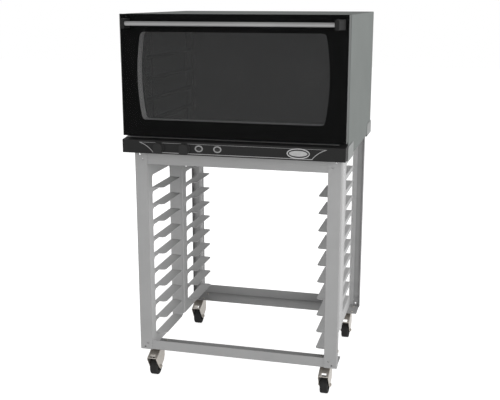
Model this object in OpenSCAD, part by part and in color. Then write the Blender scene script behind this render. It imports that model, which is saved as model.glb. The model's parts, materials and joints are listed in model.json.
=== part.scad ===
// Convection oven with a drop-down glass door, on a rolling stand with tray slides.
// Millimetres. +X is to the viewer's right, the door faces -Y, +Z is up, and the
// origin is on the floor under the middle of the whole object.

/* [Cabinet] */
// Space between the cavity and each side of the cabinet
side_space = 65; // [60:1:90]
// Mouth of the cavity above the bottom of the cabinet
mouth_rise = 85; // [80:1:120]
// Mouth of the cavity below the top of the cabinet
mouth_drop = 45; // [40:1:50]
// Space between the fan motors and the back of the cabinet
motor_space = 22; // [8:1:40]
// Thickness of the cabinet sheet
sheet_t = 2; // [1:0.5:3]
// Thickness of the front frame around the mouth
frame_t = 2.5; // [2:0.5:4]

/* [Cavity] */
// Inner width of the cavity
cavity_w = 670; // [640:1:680]
// Height of the cavity mouth
mouth_h = 355; // [330:1:360]
// Depth of the floor below the mouth's lower lip
sump_d = 43; // [20:1:46]
// Inner depth of the cavity
cavity_d = 590; // [560:1:600]
// Thickness of the cavity sheet
liner_t = 1.5; // [1:0.5:2]
// Thickness of the insulation
wool_t = 22; // [15:1:24]
// Space behind the fan guard
plenum_d = 60; // [55:1:70]
// Thickness of the fan guard and the tray runners
guard_t = 1.2; // [1:0.1:2]
// Rows of tray runners in the cavity
runner_rows = 4; // [3:1:5]
// Spacing of the tray runners
runner_pitch = 75; // [60:1:80]
// Width of the shelf of a tray runner
runner_w = 14; // [10:1:18]
// Gap of the tray runners to the mouth and to the fan guard
runner_gap = 10; // [6:1:20]
// Distance of the lamp behind the mouth
lamp_back = 230; // [180:1:320]
// Row of tray runners just under the lamp
lamp_row = 3; // [2:1:3]

/* [Fans] */
// Distance of each fan's axis from the side of the cavity
fan_side = 170; // [150:1:190]
// Diameter of the fan wheel
fan_d = 150; // [120:1:160]
// Depth of the fan blades
blade_d = 36; // [25:1:40]
// Blades on a fan wheel
blade_count = 8; // [5:1:12]
// Diameter of the fan shaft
shaft_d = 8; // [6:1:10]
// Diameter of the motor can
motor_d = 72; // [60:1:80]
// Length of the motor can
motor_len = 44; // [35:1:46]
// Diameter of the heating element's ring
element_ring_d = 184; // [180:1:196]
// Diameter of the heating element's tube
element_d = 8; // [6:1:9]

/* [Door] */
// Clearance between the control panel and the door
door_clear = 7.5; // [6:0.5:16]
// Depth of the door from its glass to its back
door_d = 57; // [55:1:60]
// Gap between the door and the cabinet
door_gap = 5; // [4:0.5:8]
// Thickness of the outer glass
glass_t = 5; // [4:0.5:6]
// Thickness of the black print behind the glass
print_t = 0.4; // [0.3:0.1:0.6]
// Thickness of the inner glass
inner_glass_t = 4; // [3:0.5:5]
// Thickness of the seal behind the inner glass
seal_t = 4; // [2:0.5:4]
// Thickness of the door's sheet
door_sheet_t = 2; // [1:0.5:2.5]
// Window's side from the side of the door, at mid height
window_side = 60; // [60:1:70]
// Bulge of each side of the window
window_sag = 15; // [12:0.5:20]
// Window's top from the top of the door
window_drop = 60.5; // [55:0.5:66]
// Window's bottom from the bottom of the door
window_rise = 58.5; // [56:0.5:70]
// Corner radius of the window
window_r = 16; // [8:1:24]
// Overlap of the inner glass past the window
glass_lap = 12; // [11:1:14]
// Width of the door gasket
gasket_w = 14; // [10:1:14]

/* [Handle] */
// Handle axis in front of the glass
handle_out = 44; // [38:1:60]
// Diameter of the handle bar
bar_d = 15.5; // [12:0.5:18]
// Start of the bare bar from the side of the door
handle_side = 39.5; // [36:0.5:60]
// Handle axis below the top of the door
handle_drop = 31.5; // [28:0.5:36]
// Width of a handle end at the glass
end_w = 29; // [24:1:32]
// Height of a handle end at the glass
end_h = 34; // [30:1:44]
// Depth of the bar's socket in a handle end
socket_d = 6; // [4:1:8]
// Wall of a handle end in front of the bar
end_wall = 2; // [1.5:0.5:3]

/* [Hinge] */
// Hinge axis behind the face of the glass
hinge_back = 12; // [12:0.5:13]
// Hinge axis above the lower edge of the door
hinge_up = 8; // [7.5:0.5:9]
// Distance of the hinge arms from the side of the cabinet
hinge_in = 30; // [24:1:32]
// Thickness of a hinge arm
arm_t = 6; // [4:1:7]
// Diameter of a hinge arm's eye
arm_eye_d = 11; // [10:0.5:12]
// Diameter of a hinge pin
pin_d = 6; // [4:0.5:6]

/* [Control panel] */
// Height of the panel's front
fascia_h = 47; // [44:0.5:48]
// Panel front in front of the glass
fascia_out = 6; // [4:1:12]
// Depth of the panel behind the face of the glass
fascia_back = 50; // [45:1:50]
// Rise of the panel's top towards the back
fascia_rise = 6; // [4:0.5:6]
// Extra width of the panel on each side
fascia_side = 1; // [0:0.5:2]
// Wall of the panel
fascia_wall = 3; // [2:0.5:4]
// Diameter of a knob's skirt
knob_d = 40; // [36:1:42]
// Depth of a knob
knob_out = 18; // [14:1:24]
// Thickness of a knob's skirt
knob_skirt = 6; // [4:1:8]
// Width of a knob's grip
grip_w = 31; // [26:1:32]
// Height of a knob's grip
grip_h = 35; // [34:1:38]
// Distance of the timer knob from the left side of the cabinet
timer_in = 136.5; // [120:0.5:160]
// Distance between the two knobs
knob_pitch = 95.5; // [75:0.5:98]
// Diameter of a knob's spindle
spindle_d = 6; // [5:0.5:8]
// Distance of the first pilot lamp from the left side of the cabinet
pilot_in = 285; // [280:0.5:290]
// Distance between the pilot lamps
pilot_pitch = 67.5; // [50:0.5:80]
// Width of a pilot lamp's ring
ring_w = 30; // [24:1:36]
// Height of a pilot lamp's ring
ring_h = 24; // [20:1:28]
// Width of the ring's band
ring_band = 4.5; // [3:0.5:6]
// Distance of the blank plate from the right side of the cabinet
plate_in = 161; // [150:1:180]
// Width of the blank plate
plate_w = 80; // [60:1:90]
// Height of the blank plate
plate_h = 36; // [30:1:38]

/* [Stand] */
// Side of the stand from the side of the cabinet
stand_in = 19.5; // [15:0.5:25]
// Rear of the stand behind the rear of the cabinet
stand_past = 12; // [4:1:20]
// Height of the stand without casters
stand_h = 771; // [765:1:900]
// Front of the stand behind the face of the glass
stand_back = 54.5; // [52:0.5:60]
// Thickness of the stand's sheet
stand_t = 2; // [1.5:0.5:2.5]
// Width of a leg's front flange
leg_w = 47.5; // [40:0.5:60]
// Depth of a leg's side flange
leg_side = 25; // [20:1:30]
// Height of the top rails
top_rail_h = 44.5; // [36:0.5:60]
// Height of the bottom rails
bottom_rail_h = 37.5; // [30:0.5:45]
// Width of the rails' flat flange
rail_flange = 109; // [106:1:120]
// Diameter of the empty holes in the legs
leg_hole_d = 7; // [5:0.5:9]

/* [Seat] */
// Thickness of the rubber pads under the cabinet
pad_t = 5; // [3:1:8]
// Length of a seat bracket
bracket_len = 129; // [100:1:150]
// Height of a seat bracket's lip
bracket_h = 51; // [40:1:52]
// Width of a seat bracket's base
bracket_w = 60; // [50:1:70]
// Side clearance between the cabinet and the brackets
seat_gap = 0.3; // [0.2:0.1:1]

/* [Tray slides] */
// Distance of the slide panels from the side of the stand
panel_in = 45.5; // [44:0.5:50]
// Rows of ledges
slide_rows = 10; // [6:1:10]
// Spacing of the ledges
slide_pitch = 64.2; // [60:0.1:66]
// Height of the lowest ledge above the bottom of the stand
slide_low = 52.5; // [45:0.5:60]
// Width of a ledge
ledge_w = 43.5; // [30:0.5:45]
// Corner radius of a ledge
ledge_r = 13; // [6:1:16]
// Height of the punched opening over a ledge
slot_h = 45; // [42:1:50]
// Length of a front ledge
ledge_len = 196; // [150:1:200]
// Length of a rear ledge
ledge_len_rear = 206; // [150:1:210]
// Front of the first ledges behind the stand's front
ledge_first = 51.5; // [46:0.5:60]
// Rear end of the second ledges from the stand's rear
ledge_end = 32.5; // [28:0.5:40]
// Front of the stiffening swage from the second ledges
swage_gap = 71; // [60:1:110]
// Width of the stiffening swage
swage_w = 30; // [20:1:36]
// Depth of the stiffening swage
swage_d = 4; // [2:0.5:6]

/* [Casters] */
// Height of the casters
caster_h = 114; // [108:1:120]
// Diameter of a wheel
wheel_d = 65; // [50:1:66]
// Width of a tyre
tyre_w = 30; // [24:1:30]
// Distance of the swivel axes from the side of the stand
caster_in = 47.5; // [44:0.5:56]
// Front swivel axes behind the stand's front
caster_front = 64; // [60:1:68]
// Rear swivel axes in front of the stand's back
caster_rear = 64; // [60:1:68]
// Offset of the wheel from the swivel axis
trail = 30; // [28:0.5:34]
// Width of a caster's top plate
plate_side = 66; // [62:1:68]
// Depth of a caster's top plate
plate_d = 76; // [74:1:78]
// Spacing of a caster's bolts across the stand
bolt_pitch = 48; // [46:1:50]
// Spacing of a caster's bolts from front to back
bolt_pitch_y = 60; // [58:1:62]
// Diameter of the caster bolts
bolt_d = 6; // [5:0.5:6]
// Outer width of a fork
fork_w = 40; // [38:1:44]
// Diameter of a wheel's axle
axle_d = 8; // [6:0.5:10]
// Diameter of a swivel pin
kingpin_d = 10; // [8:0.5:12]

/* [Services] */
// Bore of the cable gland
gland_bore = 12; // [8:0.5:14]
// Wall of the steam outlet
outlet_t = 1.5; // [1:0.5:2]
// Bore of the steam outlet
outlet_bore = 28; // [20:1:32]
// Steam outlet below the top of the cavity
outlet_drop = 40; // [30:1:60]
// Distance of the cable gland from the left side of the cabinet
gland_in = 100; // [60:1:140]
// Cable gland above the bottom of the cabinet
gland_up = 28; // [24:1:40]

/* [Fits] */
// Radial clearance of shafts and pins that turn
run_gap = 0.05; // [0.03:0.01:0.1]
// Gap between faces that slide past each other
face_gap = 0.3; // [0.2:0.1:0.5]
// Radial clearance of tubes that go through a sheet
tube_fit = 0.1; // [0.1:0.1:0.5]

/* [Hidden] */
$fn = 64;
over = 1;
steel = "#8c908e";
satin = "#a2a4a3";
black = "#1c1c1c";
dark = "#303030";
glassy = "#3a3d3e";
zinc = "#b9b5af";

// Overall sizes, which follow the cavity
oven_w = cavity_w + 2 * side_space;
oven_h = mouth_rise + mouth_h + mouth_drop;
cab_d = frame_t + cavity_d + liner_t + motor_len + motor_space;
door_h = oven_h - fascia_h - fascia_rise - door_clear;
stand_w = oven_w - 2 * stand_in;
stand_d = door_d + door_gap + cab_d + stand_past - stand_back;

// Places along X
fan_x = cavity_w / 2 - fan_side;
hinge_x = oven_w / 2 - hinge_in;
timer_x = timer_in - oven_w / 2;
thermostat_x = timer_x + knob_pitch;
pilot_x = pilot_in - oven_w / 2;
plate_x = oven_w / 2 - plate_in;
gland_x = gland_in - oven_w / 2;
panel_x = stand_w / 2 - panel_in;
caster_x = stand_w / 2 - caster_in;

// Depths, measured from the face of the door glass
handle_front = handle_out + bar_d / 2 + end_wall;
stand_rear = stand_back + stand_d;
door_y = (handle_front - stand_rear) / 2;
cab_y = door_y + door_d + door_gap;
cab_rear = cab_y + cab_d;
leg_y = door_y + stand_back;
back_y = door_y + stand_rear;
liner_y = cab_y + frame_t;
liner_rear = liner_y + cavity_d;
guard_y = liner_rear - plenum_d;

// Heights
stand_top = caster_h + stand_h;
oven_z = stand_top + stand_t + pad_t;
oven_top = oven_z + oven_h;
mouth_top = oven_top - mouth_drop;
mouth_low = mouth_top - mouth_h;
floor_z = mouth_low - sump_d;
fan_z = (mouth_top + floor_z) / 2;
door_low = oven_top - door_h;
fascia_mid = oven_z + fascia_h / 2;

// Door layers
print_y = door_y + glass_t;
shell_y = print_y + print_t;
door_rear = door_y + door_d;
seal_y = door_rear - door_sheet_t - seal_t;
inner_y = seal_y - inner_glass_t;
window_w = oven_w - 2 * window_side;
window_corner_w = window_w - 2 * window_sag;
window_h = door_h - window_drop - window_rise;
window_z = oven_top - window_drop - window_h / 2;
edge_inset = 0.5;
shell_w = oven_w - 2 * edge_inset;

// Hinge
hinge_y = door_y + hinge_back;
hinge_z = door_low + hinge_up;
cheek_t = 3.5;
cheek_gap = 0.5;
cheek_h = 18;
cheek_d = 20;
cheek_y = shell_y + 0.6;
arm_slot = 1.5;
arm_foot_t = 2;
arm_foot_w = 22;
arm_foot_h = 26;

// Control panel
fascia_y = door_y - fascia_out;
fascia_end = oven_w / 2 + fascia_side;
chassis_y = door_y + 18;
chassis_in = 15;
chassis_w = oven_w - 2 * chassis_in;
chassis_z = oven_z + 4;
chassis_h = 38;
knob_y = fascia_y - cheek_gap;
control_w = 44;
control_h = 28;
control_d = 30;
spindle_in = 12;
spindle_gap = 1;
bush_d = 10;
bush_out = 8;
boss_d = 10;
boss_in = 30;
boss_past = 100;
boss_x = [boss_in - oven_w / 2, pilot_x + boss_past, plate_x - boss_past, oven_w / 2 - boss_in];
pilot_up = 1.5;
pilot_lap = 0.5;
pilot_fit = 0.2;
pilot_depth = 14;
skirt_edge = 2;
grip_r = 3;
bezel_t = 2;
fascia_lip_in = 6;
fascia_lip = 2;
plate_t = 1.5;
plate_rim = 0.7;
plate_rim_w = 3;

// Handle and gasket
bar_clear = oven_w - 2 * handle_side;
bar_len = bar_clear + 2 * socket_d;
handle_y = door_y - handle_out;
handle_z = oven_top - handle_drop;
end_face_t = 2;
end_nose_w = 15;
end_nose_t = 16;
end_nose_r = 6;
socket_gap = 0.1;
gasket_in = 6;
gasket_low_w = 8;
gasket_gap = 0.8;
inner_w = window_w + 2 * glass_lap;
inner_h = window_h + 2 * glass_lap;
seal_w = 9;

// Cavity fittings
hub_d = 24;
hub_past = 8;
shaft_short = 2;
blade_x = 0.22 * fan_d;
blade_w = 0.25 * fan_d;
blade_in = 2;
blade_turn = 25;
disc_t = 1.5;
fan_gap = 8;
terminal_turn = 10;
terminal_d = element_d - 2;
terminal_out = 12;
collar_d = 18;
collar_t = 2;
lamp_hole_d = 44;
lamp_lens_t = 3;
lamp_holder_len = 20;
runner_low = 15;
runner_len = cavity_d - plenum_d - 2 * runner_gap;
upright_w = 12;
upright_in = 52;
shaft_hole_gap = 3;
terminal_gap = 1.5;
wool_gap = 2;
lens_lap = 4;
lens_fit = 0.5;
holder_lap = 3;
lamp_y = liner_y + lamp_back;
lamp_z = mouth_low + runner_low + (lamp_row - 0.5) * runner_pitch + upright_w / 2;
outlet_z = mouth_top - outlet_drop;
intake_slot = 3;
intake_pitch = 12;
intake_r = 60;
outlet_slot = 4;
outlet_len = 60;
vent_w = 60;
vent_h = 4;
vent_pitch = 12;
vent_gap = 10;
gland_z = oven_z + gland_up;
gland_wall = 4;
gland_body_d = gland_bore + 2 * gland_wall;
gland_nut_d = gland_bore + 4 * gland_wall;
gland_in_len = 10;
gland_nut_t = 5;

// Stand
flange_w = 15;
rail_len = stand_w - 2 * stand_t;
top_rail_z = stand_top - top_rail_h;
leg_holes = [[19.2, 9], [31.3, 25]];
leg_hole_rise = 1;
panel_front = leg_y + 2 * stand_t;
panel_rear = back_y - 2 * stand_t;
ledge_second = stand_d - ledge_end - ledge_len_rear;
ledge_columns = [[ledge_first, ledge_len], [ledge_second, ledge_len_rear]];
swage_y = leg_y + ledge_second - swage_gap;
swage_slope = 0.8;
bracket_front = 2.5;
bracket_y = leg_y - bracket_front;
lip_x = oven_w / 2 + seat_gap;
lip_r = 8;
pad_w = 34;
pad_in = 10;
side_bolt_y = 17;
side_bolt_z = 64;
side_bolt_head_d = 11;
side_bolt_head_t = 3;

// Casters
axle_z = wheel_d / 2;
plate_t2 = 2.5;
race_t = 3.2;
race_d = 44;
fork_t = 2;
crown_z = caster_h - plate_t2 - race_t - face_gap;
crown_back = 16;
crown_flat = 16;
crown_front = 74;
crown_fall = 26;
window_x = 20;
window_y = 14;
hub_r = 20;
hub_boss_d = 18;
shoulder_r = 5;
bolt_head_d = 10;
bolt_head_t = 4;
nut_t = 3;
front_axis = leg_y + caster_front;
rear_axis = back_y - caster_rear;
fork_foot_d = 20;
fork_foot_slope = 9;
crown_lip = 7;
heel_up = 28.5;
heel_mid = 12.5;
heel_low = 4;
toe_out = 19;
pin_washer_w = 6;
pin_washer_t = 2;
axle_end = 3;
axle_washer_w = 5;
hub_side = 2;
window_front = 3;

// Places that a change of size must carry along, for the joints and the mounts
echo(door_y = door_y, hinge = [hinge_y, hinge_z], fascia_y = fascia_y, knob_z = fascia_mid);
echo(cab_y = cab_y, cab_rear = cab_rear, guard_y = guard_y, fan_z = fan_z, back_y = back_y);
echo(mouth = [mouth_low, mouth_top], oven_top = oven_top, leg_y = leg_y, liner_y = liner_y);

// A solid turned so that its Z axis points towards the back
module to_back() rotate([-90, 0, 0]) children();

// A rod along +Y from a point
module rod_y(p, d, len) translate(p) to_back() cylinder(d = d, h = len);

// A rod along +X from a point
module rod_x(p, d, len) translate(p) rotate([0, 90, 0]) cylinder(d = d, h = len);

// A box that is centred in X
module bar_box(y, z, w, d, h) translate([-w / 2, y, z]) cube([w, d, h]);

// Copies on the left and on the right
module both_sides() {
  children();
  mirror([1, 0, 0]) children();
}

// Points of an ellipse
function oval(w, h, n = 48) = [for (i = [0 : n - 1]) [w / 2 * cos(360 * i / n), h / 2 * sin(360 * i / n)]];

// Window outline: straight top and bottom, bulging sides, round corners
module barrel(w, corner_w, h, r) {
  sag = (w - corner_w) / 2;
  arc_r = ((h / 2) * (h / 2) + sag * sag) / (2 * sag);
  arc_x = arc_r - w / 2;
  cy = h / 2 - r;
  cx = sqrt((arc_r - r) * (arc_r - r) - cy * cy) - arc_x;
  tangent_y = cy * arc_r / (arc_r - r);
  intersection() {
    square([2 * w, 2 * tangent_y], center = true);
    translate([-arc_x, 0]) circle(r = arc_r, $fn = 360);
    translate([arc_x, 0]) circle(r = arc_r, $fn = 360);
  }
  square([2 * cx, h], center = true);
  for (sx = [-1, 1], sy = [-1, 1]) translate([sx * cx, sy * cy]) circle(r = r);
}

// The window outline grown by a margin, as a solid from y to y + len
module window_block(margin, y, len) {
  translate([0, y + len, window_z]) rotate([90, 0, 0]) linear_extrude(len)
    barrel(window_w + 2 * margin, window_corner_w + 2 * margin, window_h + 2 * margin, window_r + margin);
}

// Cabinet

module cabinet_shell() color(steel) difference() {
  bar_box(cab_y, oven_z, oven_w, cab_d, oven_h);
  bar_box(cab_y - over, oven_z - over, oven_w - 2 * sheet_t, cab_d + 2 * over, oven_h - sheet_t + over);
}

module cabinet_back() color(steel) difference() {
  bar_box(cab_rear - sheet_t, oven_z + sheet_t, oven_w - 2 * sheet_t, sheet_t, oven_h - 2 * sheet_t);
  for (sx = [-1, 1], i = [-2 : 2], k = [-1, 1])
    translate([sx * fan_x + k * (vent_w + vent_gap) / 2, cab_rear - sheet_t - over, fan_z + i * vent_pitch])
      bar_box(0, 0, vent_w, sheet_t + 2 * over, vent_h);
  outlet_cut(cab_rear - sheet_t - over);
  rod_y([gland_x, cab_rear - sheet_t - over, gland_z], gland_body_d + 2 * tube_fit, sheet_t + 2 * over);
}

module cabinet_base() color(steel)
  bar_box(cab_y, oven_z, oven_w - 2 * sheet_t, cab_d, sheet_t);

module front_frame() color(steel) difference() {
  bar_box(cab_y, oven_z + sheet_t, oven_w - 2 * sheet_t, frame_t, oven_h - 2 * sheet_t);
  bar_box(cab_y - over, mouth_low, cavity_w, frame_t + 2 * over, mouth_h);
}

// Cavity

// The outside of the cavity, grown by a margin at its sides and by a length at its rear
module liner_outer(margin, rear) bar_box(liner_y, floor_z - liner_t - margin,
  cavity_w + 2 * liner_t + 2 * margin, cavity_d + rear, mouth_top - floor_z + 2 * liner_t + 2 * margin);

// The way of the steam outlet through a wall that starts at y
module outlet_cut(y) rod_y([0, y, outlet_z], outlet_bore + 2 * (outlet_t + tube_fit), wool_t + 2 * over);

module terminals(y, len, d) for (sx = [-1, 1], a = [-1, 1])
  rod_y([sx * fan_x + element_ring_d / 2 * sin(a * terminal_turn), y,
    fan_z - element_ring_d / 2 * cos(terminal_turn)], d, len);

module cavity_liner() color(satin) difference() {
  liner_outer(0, 0);
  bar_box(liner_y - over, floor_z, cavity_w, cavity_d + 2 * over, mouth_top - floor_z);
  rod_x([cavity_w / 2 - over, lamp_y, lamp_z], lamp_hole_d, liner_t + 2 * over);
}

module cavity_back() color(satin) difference() {
  bar_box(liner_rear, floor_z - liner_t, cavity_w + 2 * liner_t, liner_t, mouth_top - floor_z + 2 * liner_t);
  for (sx = [-1, 1])
    rod_y([sx * fan_x, liner_rear - over, fan_z], shaft_d + 2 * shaft_hole_gap, liner_t + 2 * over);
  terminals(liner_rear - over, liner_t + 2 * over, element_d + 2 * terminal_gap);
  outlet_cut(liner_rear - over);
}

module insulation() color("#c9b27a") difference() {
  liner_outer(wool_t, liner_t + wool_t);
  liner_outer(0, liner_t);
  for (sx = [-1, 1]) rod_y([sx * fan_x, liner_rear, fan_z], motor_d + wool_gap, wool_t + 2 * over);
  terminals(liner_rear, wool_t + 4 * over, element_d + 2 * wool_gap);
  outlet_cut(liner_rear);
  rod_x([cavity_w / 2, lamp_y, lamp_z], lamp_hole_d + 2 * lens_lap, wool_t + liner_t + 2 * over);
}

module fan_guard() color(satin) difference() {
  union() {
    bar_box(guard_y, floor_z + face_gap, cavity_w - 2 * face_gap, guard_t, mouth_top - floor_z - 2 * face_gap);
    for (z = [floor_z + face_gap, mouth_top - face_gap - guard_t])
      bar_box(guard_y, z, cavity_w - 2 * face_gap, plenum_d, guard_t);
  }
  for (sx = [-1, 1], i = [-4 : 4]) {
    half = sqrt(intake_r * intake_r - i * i * intake_pitch * intake_pitch);
    translate([sx * fan_x - half, guard_y - over, fan_z + i * intake_pitch - intake_slot / 2])
      cube([2 * half, guard_t + 2 * over, intake_slot]);
  }
  for (sx = [-1, 1], i = [0 : 2], k = [-2 : 1])
    translate([sx * (cavity_w / 2 - intake_pitch * (i + 1)) - outlet_slot / 2, guard_y - over,
        fan_z + intake_pitch + k * (outlet_len + 2 * intake_pitch)])
      cube([outlet_slot, guard_t + 2 * over, outlet_len]);
}

module heating_elements() color("#55504c") for (sx = [-1, 1]) {
  translate([sx * fan_x, liner_rear - plenum_d / 2, fan_z]) to_back()
    rotate_extrude($fn = 128) translate([element_ring_d / 2, 0]) circle(d = element_d);
  for (a = [-1, 1]) translate([sx * fan_x + element_ring_d / 2 * sin(a * terminal_turn), 0,
      fan_z - element_ring_d / 2 * cos(terminal_turn)]) {
    rod_y([0, liner_rear - plenum_d / 2, 0], terminal_d, plenum_d / 2 + liner_t + terminal_out);
    rod_y([0, liner_rear - collar_t, 0], collar_d, collar_t);
  }
}

module fan_motors() color(dark) for (sx = [-1, 1]) difference() {
  rod_y([sx * fan_x, liner_rear + liner_t, fan_z], motor_d, motor_len);
  rod_y([sx * fan_x, liner_rear + liner_t - over, fan_z], shaft_d + 2 * run_gap, motor_len + 2 * over);
}

// Fan wheel with its shaft, turning in the motor
module fan(x) color(satin) translate([x, guard_y + fan_gap, fan_z]) to_back() {
  cylinder(d = hub_d, h = blade_d + hub_past);
  cylinder(d = shaft_d, h = plenum_d - fan_gap + liner_t + motor_len - shaft_short);
  translate([0, 0, blade_d]) cylinder(d = fan_d, h = disc_t);
  for (i = [0 : blade_count - 1]) rotate([0, 0, 360 * i / blade_count])
    translate([blade_x, 0, blade_in]) rotate([0, 0, blade_turn]) translate([0, -disc_t / 2, 0])
      cube([blade_w, disc_t, blade_d - blade_in + disc_t / 2]);
}

module tray_runners() color(satin) both_sides() {
  for (i = [0 : runner_rows - 1]) {
    z = mouth_low + runner_low + i * runner_pitch;
    translate([cavity_w / 2 - runner_w, liner_y + runner_gap, z]) cube([runner_w, runner_len, guard_t]);
    translate([cavity_w / 2 - guard_t, liner_y + runner_gap, z]) cube([guard_t, runner_len, upright_w]);
  }
  for (y = [upright_in, runner_len - upright_in - upright_w])
    translate([cavity_w / 2 - guard_t, liner_y + runner_gap + y, floor_z])
    cube([guard_t, upright_w, mouth_top - floor_z - runner_low]);
}

module lamp_lens() color(glassy) {
  rod_x([cavity_w / 2 - lamp_lens_t, lamp_y, lamp_z], lamp_hole_d + 2 * lens_lap, lamp_lens_t);
  rod_x([cavity_w / 2 - lamp_lens_t, lamp_y, lamp_z], lamp_hole_d - 2 * lens_fit, lamp_lens_t + liner_t);
}

module lamp_holder() color(zinc)
  rod_x([cavity_w / 2 + liner_t, lamp_y, lamp_z], lamp_hole_d + 2 * holder_lap, lamp_holder_len);

module door_gasket() color(black) difference() {
  bar_box(door_rear + gasket_gap, mouth_low - gasket_in - gasket_low_w, cavity_w + 2 * (gasket_in + gasket_w),
    door_gap - gasket_gap, mouth_h + 2 * gasket_in + gasket_w + gasket_low_w);
  bar_box(door_rear, mouth_low - gasket_in, cavity_w + 2 * gasket_in, door_gap + over, mouth_h + 2 * gasket_in);
}

// Services at the back

module steam_outlet() color(satin) difference() {
  rod_y([0, liner_rear, outlet_z], outlet_bore + 2 * outlet_t, back_y - liner_rear);
  rod_y([0, liner_rear - over, outlet_z], outlet_bore, back_y - liner_rear + 2 * over);
}

module cable_gland() color(black) difference() {
  gland_y = cab_rear - sheet_t - gland_in_len;
  union() {
    rod_y([gland_x, gland_y, gland_z], gland_body_d, sheet_t + gland_in_len);
    rod_y([gland_x, cab_rear, gland_z], gland_nut_d, back_y - cab_rear);
    translate([gland_x, cab_rear - sheet_t - gland_nut_t, gland_z]) to_back()
      cylinder(d = gland_nut_d, h = gland_nut_t, $fn = 6);
  }
  rod_y([gland_x, gland_y - over, gland_z], gland_bore, back_y - gland_y + 2 * over);
}

// Hinges

module hinge_arms() color(zinc) both_sides() difference() {
  union() {
    rod_x([hinge_x - arm_t / 2, hinge_y, hinge_z], arm_eye_d, arm_t);
    translate([hinge_x - arm_t / 2, hinge_y, hinge_z - arm_eye_d / 2])
      cube([arm_t, cab_y - hinge_y, arm_eye_d]);
    translate([hinge_x - arm_foot_w / 2, cab_y - arm_foot_t, hinge_z - arm_eye_d / 2])
      cube([arm_foot_w, arm_foot_t, arm_foot_h]);
  }
  rod_x([hinge_x - arm_t, hinge_y, hinge_z], pin_d + 2 * run_gap, 2 * arm_t);
}

pin_len = arm_t + 2 * cheek_gap + 2 * cheek_t;
module hinge_pins() color(zinc) both_sides()
  rod_x([hinge_x - pin_len / 2, hinge_y, hinge_z], pin_d, pin_len);

// Control panel

module fascia_profile(inset) polygon([
  [fascia_y + inset, oven_z + inset],
  [fascia_y + inset, oven_z + fascia_h - inset],
  [door_y + fascia_back + (inset > 0 ? over : 0), oven_z + fascia_h + fascia_rise - inset],
  [door_y + fascia_back + (inset > 0 ? over : 0), oven_z + inset]
]);

// A YZ outline pushed along X, centred
module along_x(w) translate([-w / 2, 0, 0]) rotate([90, 0, 90]) linear_extrude(w) children();

module at_pilots(y) for (i = [0, 1])
  translate([pilot_x + i * pilot_pitch, y, fascia_mid + pilot_up]) to_back() children();

// A pilot lamp's oval, grown by a margin
module pilot_oval(margin)
  polygon(oval(ring_w - 2 * (ring_band - margin), ring_h - 2 * (ring_band - margin)));

module fascia() color(dark) difference() {
  union() {
    difference() {
      along_x(2 * fascia_end) fascia_profile(0);
      along_x(2 * (fascia_end - fascia_wall)) fascia_profile(fascia_wall);
    }
    for (x = boss_x)
      rod_y([x, fascia_y + fascia_wall / 2, fascia_mid], boss_d, chassis_y - fascia_y - fascia_wall / 2);
    bar_box(door_y + fascia_back - fascia_lip, oven_z + fascia_h + fascia_rise - fascia_lip / 2,
      2 * (fascia_end - fascia_lip_in), fascia_lip, fascia_lip);
  }
  for (x = [timer_x, thermostat_x])
    rod_y([x, fascia_y - over, fascia_mid], spindle_d + 2 * spindle_gap, fascia_wall + 2 * over);
  at_pilots(fascia_y - over) linear_extrude(fascia_wall + 2 * over) pilot_oval(pilot_lap + pilot_fit);
}

module control_chassis() color(zinc) difference() {
  union() {
    bar_box(chassis_y, chassis_z, chassis_w, sheet_t, chassis_h);
    for (z = [chassis_z, chassis_z + chassis_h - sheet_t])
      bar_box(chassis_y, z, chassis_w, cab_y - chassis_y, sheet_t);
  }
  for (x = [timer_x, thermostat_x])
    rod_y([x, chassis_y - over, fascia_mid], bush_d + 2 * pilot_fit, sheet_t + 2 * over);
  at_pilots(chassis_y - over) linear_extrude(sheet_t + 2 * over) pilot_oval(pilot_lap + pilot_fit);
}

module switches() color(black) for (x = [timer_x, thermostat_x]) difference() {
  union() {
    translate([x - control_w / 2, chassis_y + sheet_t, fascia_mid - control_h / 2])
      cube([control_w, control_d, control_h]);
    rod_y([x, chassis_y + sheet_t - bush_out, fascia_mid], bush_d, bush_out + over);
  }
  rod_y([x, chassis_y + sheet_t - bush_out - over, fascia_mid], spindle_d + 2 * run_gap,
    bush_out + spindle_in + over);
}

module knob(x) color(black) translate([x, knob_y, fascia_mid]) {
  rotate([90, 0, 0]) {
    rotate_extrude($fn = 96) skirt_profile();
    linear_extrude(knob_out) grip_outline();
  }
  to_back() cylinder(d = spindle_d, h = chassis_y + sheet_t + spindle_in - face_gap - knob_y);
}

module skirt_profile() {
  square([knob_d / 2 - skirt_edge, knob_skirt]);
  square([knob_d / 2, knob_skirt - skirt_edge]);
  translate([knob_d / 2 - skirt_edge, knob_skirt - skirt_edge]) circle(r = skirt_edge);
}

// A knob's grip from the front: an arch that points up at zero
module grip_outline() {
  intersection() {
    circle(d = grip_h);
    square([grip_w, grip_h], center = true);
  }
  translate([-grip_w / 2, grip_r - grip_h / 2]) square([grip_w, grip_h / 2 - grip_r]);
  translate([grip_r - grip_w / 2, -grip_h / 2]) square([grip_w - 2 * grip_r, grip_h / 2]);
  for (s = [-1, 1]) translate([s * (grip_w / 2 - grip_r), grip_r - grip_h / 2]) circle(r = grip_r);
}

module pilot_bezels() color("#8a8a8a") at_pilots(fascia_y - bezel_t) linear_extrude(bezel_t) difference() {
  pilot_oval(ring_band);
  pilot_oval(0);
}

module pilot_lenses() color(black) at_pilots(fascia_y)
  linear_extrude(chassis_y + sheet_t - fascia_y + pilot_depth) pilot_oval(pilot_lap);

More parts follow.
